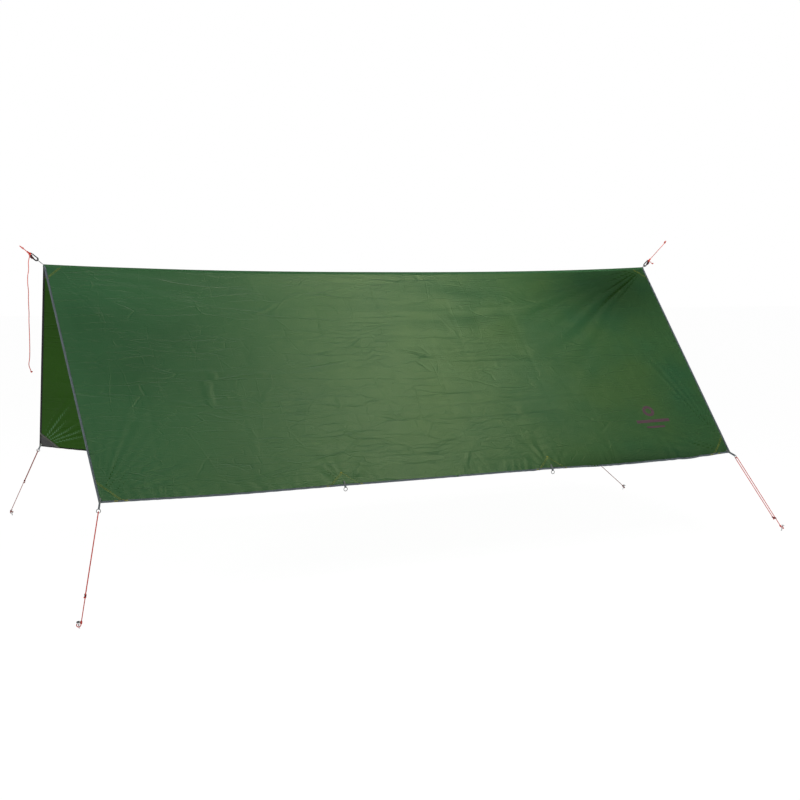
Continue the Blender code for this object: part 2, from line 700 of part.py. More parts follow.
def add_ridge(materials):
    seam = tube_mesh("ridge_seam", [X_AXIS * -RIDGE_HALF, X_AXIS * RIDGE_HALF], SEAM_RADIUS, ROUND, False)
    add_object("ridge_seam", seam, materials["binding"])
    hook, gate, pivot = hook_parts(materials)
    pin = pin_mesh(GATE_WIDTH)
    for hand, word in ((-1, "left"), (1, "right")):
        rise = RIDGE_LINE_RISE[word]
        out = (X_AXIS * hand * math.cos(rise) + Z_AXIS * math.sin(rise)).normalized()
        up = (Z_AXIS * math.cos(rise) - X_AXIS * hand * math.sin(rise)).normalized()
        through = up.cross(out)
        end = X_AXIS * hand * RIDGE_HALF
        loop = stadium(out, Y_AXIS, LOOP_START, LOOP_LENGTH[word], LOOP_BEND, LOOP_STEPS)
        loop_mesh = tube_mesh("ridge_loop", loop, LOOP_WIRE, LOOP_SIDES, True)
        add_object(f"{word}_ridge_loop", loop_mesh, materials["webbing"], Matrix.Translation(end))
        origin = end + out * (LOOP_START + LOOP_LENGTH[word])
        frame = frame_matrix(origin, out, through, up)
        add_object(f"{word}_ridge_hook", hook, materials["hook"], frame)
        add_object(f"{word}_hook_gate", gate, materials["hook"], frame)
        add_object(f"{word}_gate_pin", pin, materials["pin"], frame @ Matrix.Translation(pivot))
        far = origin + out * HOOK_LENGTH
        start = far + out * (HOOK_ROD + CORD_RADIUS + CLEARANCE)
        touch = end + out * RIDGE_LINE_REACH[word]
        route = straight(start, touch, LINE_STEP)
        middle = touch + Y_AXIS * LINE_EYE_RADIUS
        route += arc(middle, -Y_AXIS, out, LINE_EYE_RADIUS, 0, LINE_EYE_SWEEP, LINE_EYE_STEPS)[1:]
        add_cord(f"{word}_ridge_line", route, CORD_RADIUS, materials["cord"])
        hitch = far + Vector(HITCH_OFFSET)
        points = tail_route(hitch, TAIL_DROP[word], TAIL_SWAY[word], TAIL_LEAN[word], hand)
        tail = catmull_rom(points, TAIL_STEP[word])
        add_cord(f"{word}_ridge_tail", tail, CORD_RADIUS, materials["cord"])


def main():
    clear_scene()
    materials = make_materials()
    add_panels(materials)
    add_guys(materials)
    add_hem_ties(materials)
    add_ridge(materials)


main()
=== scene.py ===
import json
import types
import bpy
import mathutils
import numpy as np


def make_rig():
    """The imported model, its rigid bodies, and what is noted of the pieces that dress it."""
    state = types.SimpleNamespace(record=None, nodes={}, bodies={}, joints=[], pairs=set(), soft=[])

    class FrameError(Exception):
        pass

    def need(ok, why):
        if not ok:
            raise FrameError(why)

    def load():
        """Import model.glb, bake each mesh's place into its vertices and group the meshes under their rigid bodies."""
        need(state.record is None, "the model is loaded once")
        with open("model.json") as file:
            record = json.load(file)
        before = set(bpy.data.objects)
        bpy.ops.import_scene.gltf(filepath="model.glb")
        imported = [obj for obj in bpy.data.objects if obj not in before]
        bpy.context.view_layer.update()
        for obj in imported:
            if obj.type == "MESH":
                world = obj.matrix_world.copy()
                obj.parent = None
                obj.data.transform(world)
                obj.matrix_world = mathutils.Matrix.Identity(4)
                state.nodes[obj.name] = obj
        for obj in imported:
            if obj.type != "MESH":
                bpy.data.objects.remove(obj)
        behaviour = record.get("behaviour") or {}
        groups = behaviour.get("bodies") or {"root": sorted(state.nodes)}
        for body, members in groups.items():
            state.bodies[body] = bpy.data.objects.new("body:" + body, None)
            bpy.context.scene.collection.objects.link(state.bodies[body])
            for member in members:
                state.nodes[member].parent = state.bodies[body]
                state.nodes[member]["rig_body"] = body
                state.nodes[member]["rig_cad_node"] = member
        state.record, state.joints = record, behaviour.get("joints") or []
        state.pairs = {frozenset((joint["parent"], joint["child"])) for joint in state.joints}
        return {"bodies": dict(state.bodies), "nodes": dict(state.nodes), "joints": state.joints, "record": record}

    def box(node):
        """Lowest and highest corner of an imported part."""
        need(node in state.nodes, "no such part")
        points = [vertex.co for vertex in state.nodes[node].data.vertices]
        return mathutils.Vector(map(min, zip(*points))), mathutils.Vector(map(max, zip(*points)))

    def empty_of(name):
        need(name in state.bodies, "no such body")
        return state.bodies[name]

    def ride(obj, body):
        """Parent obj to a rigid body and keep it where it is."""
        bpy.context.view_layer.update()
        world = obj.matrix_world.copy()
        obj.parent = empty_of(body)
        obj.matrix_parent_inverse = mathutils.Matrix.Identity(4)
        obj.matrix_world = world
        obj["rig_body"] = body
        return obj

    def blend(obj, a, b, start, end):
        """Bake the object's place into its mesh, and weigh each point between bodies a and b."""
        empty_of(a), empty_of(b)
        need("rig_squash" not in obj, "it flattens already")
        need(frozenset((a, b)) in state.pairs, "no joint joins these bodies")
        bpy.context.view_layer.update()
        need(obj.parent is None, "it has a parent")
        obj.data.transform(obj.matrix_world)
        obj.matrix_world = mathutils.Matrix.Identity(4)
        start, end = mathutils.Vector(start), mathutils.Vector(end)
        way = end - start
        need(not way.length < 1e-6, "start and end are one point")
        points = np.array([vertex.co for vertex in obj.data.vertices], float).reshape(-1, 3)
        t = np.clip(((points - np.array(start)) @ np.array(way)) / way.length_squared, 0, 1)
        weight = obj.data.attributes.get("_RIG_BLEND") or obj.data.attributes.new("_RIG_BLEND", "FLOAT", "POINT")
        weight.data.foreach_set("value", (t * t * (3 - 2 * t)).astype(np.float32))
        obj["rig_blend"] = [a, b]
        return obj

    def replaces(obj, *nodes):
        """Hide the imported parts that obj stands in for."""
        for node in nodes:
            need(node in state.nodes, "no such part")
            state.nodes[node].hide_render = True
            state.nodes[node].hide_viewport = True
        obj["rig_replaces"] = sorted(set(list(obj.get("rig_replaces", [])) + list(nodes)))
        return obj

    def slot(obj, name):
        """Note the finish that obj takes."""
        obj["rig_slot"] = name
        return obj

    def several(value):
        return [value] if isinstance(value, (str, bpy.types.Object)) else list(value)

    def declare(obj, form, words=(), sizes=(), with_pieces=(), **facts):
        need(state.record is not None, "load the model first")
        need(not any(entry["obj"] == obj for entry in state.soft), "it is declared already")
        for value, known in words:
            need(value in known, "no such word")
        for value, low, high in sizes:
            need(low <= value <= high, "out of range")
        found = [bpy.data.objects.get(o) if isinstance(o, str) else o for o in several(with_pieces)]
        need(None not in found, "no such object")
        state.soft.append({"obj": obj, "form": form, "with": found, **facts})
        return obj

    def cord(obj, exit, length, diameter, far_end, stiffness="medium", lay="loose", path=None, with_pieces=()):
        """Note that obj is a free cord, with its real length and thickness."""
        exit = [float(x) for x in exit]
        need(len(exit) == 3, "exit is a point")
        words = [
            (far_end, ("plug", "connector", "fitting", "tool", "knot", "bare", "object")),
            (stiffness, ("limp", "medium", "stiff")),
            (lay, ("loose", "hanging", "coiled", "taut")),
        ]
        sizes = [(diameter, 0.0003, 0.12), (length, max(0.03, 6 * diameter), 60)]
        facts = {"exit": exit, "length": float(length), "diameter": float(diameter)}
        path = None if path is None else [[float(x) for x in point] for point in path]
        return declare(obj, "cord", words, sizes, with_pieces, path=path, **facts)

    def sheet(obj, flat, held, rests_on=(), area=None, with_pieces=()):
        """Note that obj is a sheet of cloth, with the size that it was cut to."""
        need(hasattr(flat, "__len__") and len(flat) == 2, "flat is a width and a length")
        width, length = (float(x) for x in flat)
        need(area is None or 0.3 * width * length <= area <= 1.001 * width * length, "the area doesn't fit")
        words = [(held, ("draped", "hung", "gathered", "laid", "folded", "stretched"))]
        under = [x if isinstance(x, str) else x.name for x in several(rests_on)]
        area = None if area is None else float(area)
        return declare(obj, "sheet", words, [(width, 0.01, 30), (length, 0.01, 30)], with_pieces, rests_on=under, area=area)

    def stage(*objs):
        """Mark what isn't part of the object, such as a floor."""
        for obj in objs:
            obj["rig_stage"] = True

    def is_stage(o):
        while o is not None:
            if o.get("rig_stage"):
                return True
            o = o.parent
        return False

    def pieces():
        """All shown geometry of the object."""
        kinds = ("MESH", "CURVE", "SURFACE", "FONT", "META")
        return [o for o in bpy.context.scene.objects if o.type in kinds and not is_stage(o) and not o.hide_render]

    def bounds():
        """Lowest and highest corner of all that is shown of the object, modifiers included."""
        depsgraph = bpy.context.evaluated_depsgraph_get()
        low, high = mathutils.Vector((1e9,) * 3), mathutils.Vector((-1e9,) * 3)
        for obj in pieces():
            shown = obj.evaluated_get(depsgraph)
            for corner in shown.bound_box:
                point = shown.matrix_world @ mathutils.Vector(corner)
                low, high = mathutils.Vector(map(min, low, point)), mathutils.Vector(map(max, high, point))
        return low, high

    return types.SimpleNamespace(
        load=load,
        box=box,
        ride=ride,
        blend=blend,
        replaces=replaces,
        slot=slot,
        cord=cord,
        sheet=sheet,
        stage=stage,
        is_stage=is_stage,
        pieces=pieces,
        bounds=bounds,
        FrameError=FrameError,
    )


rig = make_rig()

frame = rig.load()

import json
import math

import bmesh
import bpy
import numpy as np
from mathutils import Matrix, Vector

cad_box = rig.bounds()

JOINTS = {joint["name"]: joint for joint in frame["joints"]}
MOUNTS = {mount["name"]: mount for mount in frame["record"]["mounts"]}
FRONT, BACK = -1, 1
SIDES = ((FRONT, "front"), (BACK, "back"))
LABELS = dict(SIDES)
HANDS = ((-1, "left"), (1, "right"))
CORNERS = [(side, label, hand, f"{label}_{word}") for side, label in SIDES for hand, word in HANDS]
X_AXIS = Vector((1, 0, 0))
Y_AXIS = Vector((0, 1, 0))
Z_AXIS = Vector((0, 0, 1))

# The cloth's shape, as the CAD model has it
RIDGE_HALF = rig.box("ridge_seam")[1].x
HEM_HALF = 1.727
PANEL_WIDTH = 1.394
HEM_ALLOWANCE = 0.031       # what the seam and the hem fold take of the flat cloth
HEM_DROP = {FRONT: (1.032, 1.032), BACK: (1.032, 1.100)}
HEM_SAG = {FRONT: 0.015, BACK: 0.100}
SAG_POWER = 2.5
HEM_TIE_PLACES = (1 / 3, 2 / 3)
CORNER_INSET = 0.004
GROUND = -1.500

# What cloth does between its fixed edges
RIDGE_SAG = 0.034
RIDGE_SAG_POWER = 2.4
BELLY = 0.016
CLOTH_THICK = 0.0005
CLOTH_COLUMNS = 376
CLOTH_ROWS = 130
EDGE_INSET = 0.002          # the cloth stops this far inside its edge tape
BLEND_START = 0.030         # along the slope: above this the cloth stays with the ridge
BLEND_END = 0.100

# Trim
TAPE_WIDTH = 0.010
SEAM_WIDTH = 0.017
FACING_TOP = 0.0005         # the patches lie this far inside the cloth's middle surface
FACING_BASE = 0.0011
OUTER_THREAD = 0.0004
INNER_THREAD = -0.0013
TAPE_THREAD = 0.0015        # stitches on the tape, on either face
HEM_TACK = 0.0016           # bars of stitches across the tape
CORNER_PATCH = (0.125, 0.115)    # along the side edge, along the hem or the ridge
RIDGE_PATCH = (0.100, 0.100)
HEM_PATCH = (0.172, 0.080)
PATCH_MARGIN = 0.001
PATCH_STEPS = 28
BAND_LINES = (0.0, 0.0033, 0.0066, 0.010)    # in from a patch's free edge

# Loops, rings and cords
STRAP_WIDTH = 0.008
STRAP_THICK = 0.0011
STRAP_INNER = 0.0019
SEWN_LENGTH = 0.026
CORNER_REACH = 0.030
HEM_REACH = 0.0075
RING_MEAN = 0.009
RING_WIRE = 0.0015
CORD_RADIUS = 0.0015
CORD_TURN = 0.0060
CORD_DRAWN = 0.0020         # the braid's fibres stand a little proud
WRAP_RADIUS = CORD_RADIUS * 2.02    # turns of cord that lie on the cord itself
EYE_RADIUS = 0.009
EYE_SWEEP = math.radians(300)
EYE_STEPS = 24
EYE_HEIGHT = 0.018
STOPPER_LENGTH = 0.008
STRAND_STEP = 0.006
KNOT_SIZE = 0.0016
PEG_ABOVE = 0.030
PEG_HEAD_THICK = 0.004
PEG_DEPTH = 0.135

# Ridge ends
RIDGE_LINE_RISE = {"left": math.radians(40), "right": math.radians(43)}
LOOP_WIRE = 0.0013
LOOP_BEND = 0.0052
LOOP_LENGTH = {"left": 0.0252, "right": 0.0052}
LOOP_START = 0.0074
HOOK_ROD = 0.0034
HOOK_HALF_WIDTH = 0.0075
HOOK_LENGTH = 0.046
GATE_PIVOT = 0.0365
GATE_NOSE = 0.0105
GATE_HEIGHT = 0.0050
GATE_WIDTH = 0.0052
GATE_GAP = 0.0003
GATE_NOSE_GAP = 0.0005
GATE_TAIL = 0.0016
FORK_BACK = 0.0022
TONGUE_WIDTH = 0.0020
TONGUE_HALF_HEIGHT = 0.0016
TONGUE_ROOT = 0.0058
ROD_STOP = 0.0045
PIN_RADIUS = 0.0007
CLEARANCE = 0.0005
ROD_WRAP_RADIUS = HOOK_ROD + CORD_RADIUS * 1.02     # turns of cord that lie on the hook's rod
BUNDLE_RADIUS = 0.0024
HITCH_OFFSET = Vector((0, -0.0060, -0.001))
RIDGE_LINE_REACH = {"left": 0.132, "right": 0.234}
LINE_EYE_RADIUS = 0.0065
LINE_EYE_SWEEP = math.radians(290)
TAIL_DROP = {"left": 0.580, "right": 0.019}
TAIL_SWAY = {
    "left": (0.0, 0.009, 0.010, 0.015, 0.016, 0.014, 0.015, 0.015, 0.015, 0.016, 0.016, 0.016, 0.016,
             0.017, 0.019, 0.023, 0.012),
    "right": (0.0, 0.0020, 0.0036, 0.0047, 0.0053, 0.0055),
}
TAIL_LEAN = {"left": 0.0, "right": 0.0250}
TAIL_WAVE = 0.002
TAIL_WAVE_TURN = 2.2


def new_object(name, data):
    item = bpy.data.objects.new(name, data)
    bpy.context.scene.collection.objects.link(item)
    return item


# ================================================================ camera

def add_camera():
    data = bpy.data.cameras.new("view")
    data.lens = 51.84
    data.sensor_width = 36.0
    data.clip_end = 60.0
    camera = new_object("view", data)
    camera.location = (-2.596, -5.922, -0.067)
    camera.rotation_euler = (math.radians(83.96), 0, math.radians(-24.76))
    bpy.context.scene.camera = camera


# ================================================================ materials

class Recipe:
    """A material's node tree, with short calls for adding and joining nodes."""

    def __init__(self, name, colour, roughness, metallic=0.0, **settings):
        self.material = bpy.data.materials.new(name)
        self.material.use_nodes = True
        self.tree = self.material.node_tree
        self.shader = self.tree.nodes["Principled BSDF"]
        self.shader.inputs["Base Color"].default_value = (*colour, 1.0)
        self.shader.inputs["Roughness"].default_value = roughness
        self.shader.inputs["Metallic"].default_value = metallic
        for socket, value in settings.items():
            self.shader.inputs[socket.replace("_", " ")].default_value = value

    def add(self, kind, inputs=None, **settings):
        item = self.tree.nodes.new("ShaderNode" + kind)
        for name, value in settings.items():
            setattr(item, name, value)
        for name, value in (inputs or {}).items():
            self.put(item.inputs[name], value)
        return item

    def put(self, socket, value):
        if isinstance(value, bpy.types.NodeSocket):
            self.tree.links.new(value, socket)
        else:
            socket.default_value = value

    def math(self, operation, *values):
        item = self.add("Math", operation=operation)
        for socket, value in zip(item.inputs, values):
            self.put(socket, value)
        return item.outputs[0]

    def times(self, *values):
        return self.math("MULTIPLY", *values)

    def plus(self, *values):
        return self.math("ADD", *values)

    def mix(self, share, *colours):
        """From one colour to another, each a node's output or (red, green, blue)."""
        item = self.add("Mix", data_type="RGBA")
        self.put(item.inputs[0], share)
        for socket, colour in zip((item.inputs[6], item.inputs[7]), colours):
            self.put(socket, colour if isinstance(colour, bpy.types.NodeSocket) else (*colour, 1))
        return item.outputs[2]

    def paint(self, tone):
        self.put(self.shader.inputs["Base Color"], tone)

    def across(self):
        """The cloth's own coordinates, as two separate outputs."""
        item = self.add("SeparateXYZ", {0: self.place()})
        return item.outputs["X"], item.outputs["Y"]

    def ramp(self, value, low, high):
        item = self.add("MapRange", {"Value": value, "From Min": low, "From Max": high})
        return item.outputs[0]

    def place(self, scale=(1, 1, 1), turn=0.0, source=None):
        """The cloth's own coordinates in metres, scaled."""
        if source is None:
            source = self.add("UVMap", uv_map="metres").outputs[0]
        item = self.add("Mapping", {"Vector": source, "Scale": scale, "Rotation": (0, 0, turn)})
        return item.outputs[0]

    def noise(self, vector, scale, detail, roughness=0.5):
        item = self.add("TexNoise", {"Vector": vector, "Scale": scale, "Detail": detail,
                                     "Roughness": roughness})
        return item.outputs["Fac"]

    def bump(self, height, distance, strength, under=None):
        item = self.add("Bump", {"Height": height, "Distance": distance, "Strength": strength})
        if under is not None:
            self.put(item.inputs["Normal"], under)
        self.put(self.shader.inputs["Normal"], item.outputs[0])
        return item.outputs[0]


def rgb(red, green, blue):
    """A display colour, from 0 to 255, as scene-linear values."""
    out = []
    for value in (red, green, blue):
        share = value / 255
        out.append(share / 12.92 if share <= 0.04045 else ((share + 0.055) / 1.055) ** 2.4)
    return tuple(out)


def creases(recipe, moved, scale, turn, width, height, patch, shift):
    """Thin creases along the borders of stretched cells; some stand up, some sink, most fade out."""
    placed = recipe.place((scale[0], scale[1], 1.0), turn, moved)
    cells = recipe.add("TexVoronoi", {"Vector": placed, "Scale": 1.0}, feature="DISTANCE_TO_EDGE")
    fall = {"Value": cells.outputs["Distance"], "From Min": 0.0, "From Max": width,
            "To Min": 1.0, "To Max": 0.0}
    line = recipe.add("MapRange", fall, interpolation_type="SMOOTHERSTEP").outputs[0]
    spot = recipe.add("Mapping", {"Vector": recipe.place(), "Location": (shift, shift * 0.7, 0.0)}).outputs[0]
    stand = {"Value": recipe.noise(spot, patch, 2.0, 0.6), "From Min": 0.30, "From Max": 0.70,
             "To Min": -height, "To Max": height}
    share = recipe.add("MapRange", stand, clamp=False).outputs[0]
    return recipe.times(line, share)


def creased_relief(recipe, strength):
    """Relief, in metres, of a thin cloth that was packed small: creases in five families and soft waves."""
    plain = recipe.place()
    wander = recipe.add("TexNoise", {"Vector": plain, "Scale": 3.5, "Detail": 3.0, "Roughness": 0.6})
    bent = recipe.add("VectorMath", {0: wander.outputs["Color"], 1: (0.09, 0.06, 0.0)}, operation="MULTIPLY")
    moved = recipe.add("VectorMath", {0: plain, 1: bent.outputs[0]}, operation="ADD").outputs[0]
    families = (
        ((0.9, 7.5), 0.02, 0.024, 0.00260, 2.2, 0.0),       # long, along the ridge
        ((2.2, 19.0), -0.04, 0.045, 0.00135, 3.1, 4.0),
        ((6.0, 1.0), 0.10, 0.020, 0.00060, 2.4, 8.0),       # down the slope
        ((3.2, 11.0), 0.24, 0.032, 0.00135, 2.8, 12.0),     # crumple
        ((8.0, 30.0), -0.16, 0.055, 0.00085, 2.6, 16.0),
    )
    total = 0.0
    for scale, turn, width, height, patch, shift in families:
        total = recipe.plus(total, creases(recipe, moved, scale, turn, width, height, patch, shift))
    wave_height, dimple_height = 0.0013, 0.0010
    waves = recipe.noise(recipe.place((1.6, 11.0, 1.0), 0.03), 1.0, 3.0, 0.5)
    dimples = recipe.noise(plain, 16.0, 4.0, 0.6)
    total = recipe.plus(total, recipe.times(waves, wave_height))
    total = recipe.plus(total, recipe.times(dimples, dimple_height))
    return recipe.bump(total, 1.0, strength)


def painted_light_and_shade(recipe, tone):
    """Painted light and shade in the colour and the gloss, standing in for light that comes through the cloth: less at
    the right ridge corner and hem, more in the middle.
    """
    along, down = recipe.across()
    spots = (       # middle along and down the cloth, width along and down, and gain
        (1.47, 0.15, 0.42, 0.26, -0.56),
        (0.65, 0.85, 0.55, 0.50, 0.26),
        (-0.55, 0.02, 1.10, 0.16, 0.28),
        (-1.30, 0.55, 0.55, 0.40, -0.12),
        (1.45, 1.00, 0.30, 0.30, 0.16),
        (1.14, 1.43, 0.62, 0.10, -0.66),
    )
    # each spot's gain is painted light above zero and painted shade below
    factor = 1.0
    for middle_x, middle_y, width_x, width_y, gain in spots:
        u = recipe.math("DIVIDE", recipe.math("SUBTRACT", along, middle_x), width_x)
        v = recipe.math("DIVIDE", recipe.math("SUBTRACT", down, middle_y), width_y)
        square = recipe.plus(recipe.times(u, u), recipe.times(v, v))
        bell = recipe.math("EXPONENT", recipe.times(square, -1.0))
        factor = recipe.plus(factor, recipe.times(bell, gain))
    # the gloss follows the same painted light and shade
    gloss = recipe.shader.inputs["Specular IOR Level"]
    recipe.put(gloss, recipe.times(factor, gloss.default_value))
    return recipe.mix(factor, (0, 0, 0), tone)


def weave_relief(recipe, under, pitch, height):
    """Plain weave: threads that cross at a pitch."""
    turn = 2 * math.pi / pitch
    warp, weft = (recipe.math("SINE", recipe.times(way, turn)) for way in recipe.across())
    recipe.bump(recipe.times(warp, weft), height, 0.35, under)


def cloth_material(name, left, right, roughness, gloss, crease):
    """Thin coated ripstop: a colour that shifts along the cloth as a painted tint of the light, painted light and
    shade, fine creases and a weave.
    """
    recipe = Recipe(name, left, roughness, Specular_IOR_Level=gloss)
    recipe.put(recipe.shader.inputs["Specular Tint"], (0.86, 1.0, 0.42, 1.0))
    along, _ = recipe.across()
    # painted tint of the light: bluer towards the left, yellower towards the right
    tone = recipe.mix(recipe.ramp(along, -1.5, 1.3), left, right)
    blotch = recipe.noise(recipe.place(), 1.7, 3.0, 0.55)
    tone = recipe.mix(recipe.ramp(blotch, 0.62, 0.35), tone, [c * 0.86 for c in left])
    # painted light and shade on the cloth's colour
    tone = painted_light_and_shade(recipe, tone)
    grain = recipe.noise(recipe.place(), 240.0, 2.0, 0.6)
    recipe.paint(recipe.mix(recipe.times(grain, 0.16), tone, [c * 1.5 for c in right]))
    rough = recipe.plus(roughness - 0.04, recipe.times(blotch, 0.08))
    recipe.put(recipe.shader.inputs["Roughness"], rough)
    under = creased_relief(recipe, crease)
    weave_relief(recipe, under, 0.0011, 0.00010)
    return recipe.material


def ribbed_material(name, colour, other, pitch, height, roughness=0.8):
    """Woven tape or webbing: ribs across its length, in two close tones."""
    recipe = Recipe(name, colour, roughness, Specular_IOR_Level=0.3)
    along, _ = recipe.across()
    ribs = recipe.math("SINE", recipe.times(along, 2 * math.pi / pitch))
    share = recipe.math("MULTIPLY_ADD", ribs, 0.5, 0.5)
    wear = recipe.noise(recipe.place(), 60.0, 3.0)
    tone = recipe.mix(share, other, colour)
    recipe.paint(recipe.mix(recipe.times(wear, 0.35), tone, [c * 1.5 for c in colour]))
    recipe.bump(ribs, height, 0.8)
    return recipe.material


def braid_material(name, colour, fleck):
    """Round cord: two families of strands that cross, with flecks of a second colour."""
    recipe = Recipe(name, colour, 0.65, Specular_IOR_Level=0.3)
    pitch, strands_round = 0.0042, 4
    along, round_it = recipe.across()
    length = recipe.times(along, 2 * math.pi / pitch)
    around = recipe.times(round_it, 2 * math.pi * strands_round)
    first = recipe.math("SINE", recipe.plus(length, around))
    second = recipe.math("SINE", recipe.math("SUBTRACT", length, around))
    strands = recipe.math("MAXIMUM", first, second)
    spot = recipe.ramp(recipe.times(first, second), 0.35, 0.75)
    tone = recipe.mix(recipe.times(spot, 0.6), colour, fleck)
    fuzz = recipe.noise(recipe.place(), 900.0, 2.0)
    pale = [min(1.0, c * 2 + 0.05) for c in colour]
    recipe.paint(recipe.mix(recipe.times(fuzz, 0.25), tone, pale))
    recipe.bump(strands, 0.00025, 0.9)
    return recipe.material


def worn_material(name, colour, roughness, metallic, scratch, **settings):
    """Metal or hard plastic with fine scratches and uneven gloss."""
    recipe = Recipe(name, colour, roughness, metallic, **settings)
    place = recipe.add("TexCoord").outputs["Object"]
    blotch = recipe.noise(recipe.place((1, 1, 1), 0.0, place), 220.0, 4.0, 0.6)
    lines = recipe.noise(recipe.place((900, 900, 60), 0.4, place), 1.0, 2.0)
    rough = recipe.plus(roughness - 0.08, recipe.times(blotch, 0.16))
    recipe.put(recipe.shader.inputs["Roughness"], rough)
    edge = recipe.ramp(lines, 0.62, 0.8)
    lighter = [min(1.0, c * 1.6 + 0.02) for c in colour]
    recipe.paint(recipe.mix(recipe.times(edge, scratch), colour, lighter))
    recipe.bump(lines, 0.00003, 0.4)
    return recipe.material


def coated_material(name, colour):
    """Matt coated cloth of the reinforcing patches."""
    recipe = Recipe(name, colour, 0.62, Sheen_Weight=0.15, Sheen_Roughness=0.5)
    mottle = recipe.noise(recipe.place(), 90.0, 3.0)
    recipe.paint(recipe.mix(recipe.times(mottle, 0.5), colour, [c * 2.2 for c in colour]))
    under = recipe.bump(recipe.noise(recipe.place(), 70.0, 3.0), 0.0012, 0.5)
    weave_relief(recipe, under, 0.0012, 0.00012)
    return recipe.material


def make_looks():
    """Every material, by the word that the pieces know it by."""
    return {
        "outer": cloth_material("outer_cloth", rgb(43, 94, 60), rgb(56, 92, 50), 0.44, 0.5, 0.9),
        "inner": cloth_material("inner_cloth", rgb(34, 72, 16), rgb(33, 70, 16), 0.66, 0.12, 0.9),
        "seam": ribbed_material("seam_cloth", rgb(50, 102, 56), rgb(42, 90, 46), 0.0016, 0.0002, 0.5),
        "tape": ribbed_material("edge_tape", rgb(110, 121, 126), rgb(76, 84, 88), 0.0018, 0.0003),
        # the tape's inner face is a near-black copy of the grey tape: painted shade
        "tape_inner": ribbed_material("edge_tape_inner", rgb(26, 28, 27), rgb(14, 15, 15), 0.0018, 0.0003),
        "facing": coated_material("facing", rgb(20, 22, 20)),
        "facing_band": coated_material("facing_band", rgb(44, 50, 44)),
        "print": worn_material("printed_mark", rgb(88, 62, 70), 0.6, 0.0, 0.2),
        "thread": ribbed_material("olive_thread", rgb(172, 172, 66), rgb(128, 128, 48), 0.0009, 0.0001),
        "dull_thread": ribbed_material("grey_thread", rgb(60, 66, 62), rgb(44, 50, 46), 0.0009, 0.0001),
        "dark_thread": ribbed_material("green_thread", rgb(52, 84, 48), rgb(40, 66, 38), 0.0009, 0.0001),
        "webbing": ribbed_material("webbing", rgb(124, 131, 134), rgb(88, 95, 99), 0.0016, 0.00035),
        "thin_loop": braid_material("thin_loop", rgb(112, 110, 108), rgb(70, 68, 66)),
        "ring": worn_material("steel_ring", rgb(118, 118, 116), 0.34, 1.0, 0.4),
        "cord": braid_material("guy_cord", rgb(216, 44, 20), rgb(232, 84, 50)),
        # a darker copy of the red cord: painted shade on the turns wound round the hook
        "wound_cord": braid_material("wound_cord", rgb(74, 22, 24), rgb(40, 16, 18)),
        # a darker, duller copy of the guy cord: painted shade on the back guys
        "shaded_cord": braid_material("back_guy_cord", rgb(140, 62, 50), rgb(172, 110, 96)),
        "pale_cord": braid_material("ridge_cord", rgb(226, 96, 84), rgb(246, 180, 170)),
        "tensioner": worn_material("anodised_bar", rgb(92, 18, 30), 0.34, 0.75, 0.5),
        "peg": worn_material("peg_metal", rgb(202, 204, 206), 0.32, 1.0, 0.5),
        "hook": worn_material("black_hook", rgb(15, 15, 16), 0.50, 0.0, 0.4, Specular_IOR_Level=0.3),
        "pin": worn_material("pin_steel", rgb(176, 176, 176), 0.3, 1.0, 0.4),
    }


# ================================================================ meshes

LOOKS = {}


def new_piece(name, shape, look, slot, indices=None, smooth=True, sharp=None):
    """A mesh object from a shape of (points, faces, coordinates in metres), with one look or two."""
    points, faces, uv = shape
    mesh = bpy.data.meshes.new(name)
    mesh.from_pydata([tuple(p) for p in points], [], [tuple(f) for f in faces])
    layer = mesh.uv_layers.new(name="metres")
    corners = np.empty(len(mesh.loops), np.int32)
    mesh.loops.foreach_get("vertex_index", corners)
    layer.data.foreach_set("uv", np.asarray(uv, np.float32)[corners].ravel())
    for word in look.split():
        mesh.materials.append(LOOKS[word])
    if indices is not None:
        mesh.polygons.foreach_set("material_index", np.asarray(indices, np.int32))
    if smooth:
        mesh.shade_smooth()
    if sharp is not None:
        mesh.set_sharp_from_angle(angle=math.radians(sharp))
    mesh.update()
    piece = new_object(name, mesh)
    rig.slot(piece, slot)
    return piece


def object_from(name, shape):
    """An object from a bmesh, which is freed."""
    mesh = bpy.data.meshes.new(name)
    shape.to_mesh(mesh)
    shape.free()
    return new_object(name, mesh)


def turn_out(piece):
    """Makes the mesh's faces point out."""
    shape = bmesh.new()
    shape.from_mesh(piece.data)
    bmesh.ops.recalc_face_normals(shape, faces=shape.faces)
    shape.to_mesh(piece.data)
    shape.free()


def solid(name, shape, look, slot, **settings):
    """A piece with its faces turned out."""
    piece = new_piece(name, shape, look, slot, **settings)
    turn_out(piece)
    return piece


ROUND_END = ((0.38, 0.93), (0.71, 0.71), (0.93, 0.38))      # out and in, of a tube's rounded end


def spoke(first, second, angle):
    return first * math.cos(angle) + second * math.sin(angle)


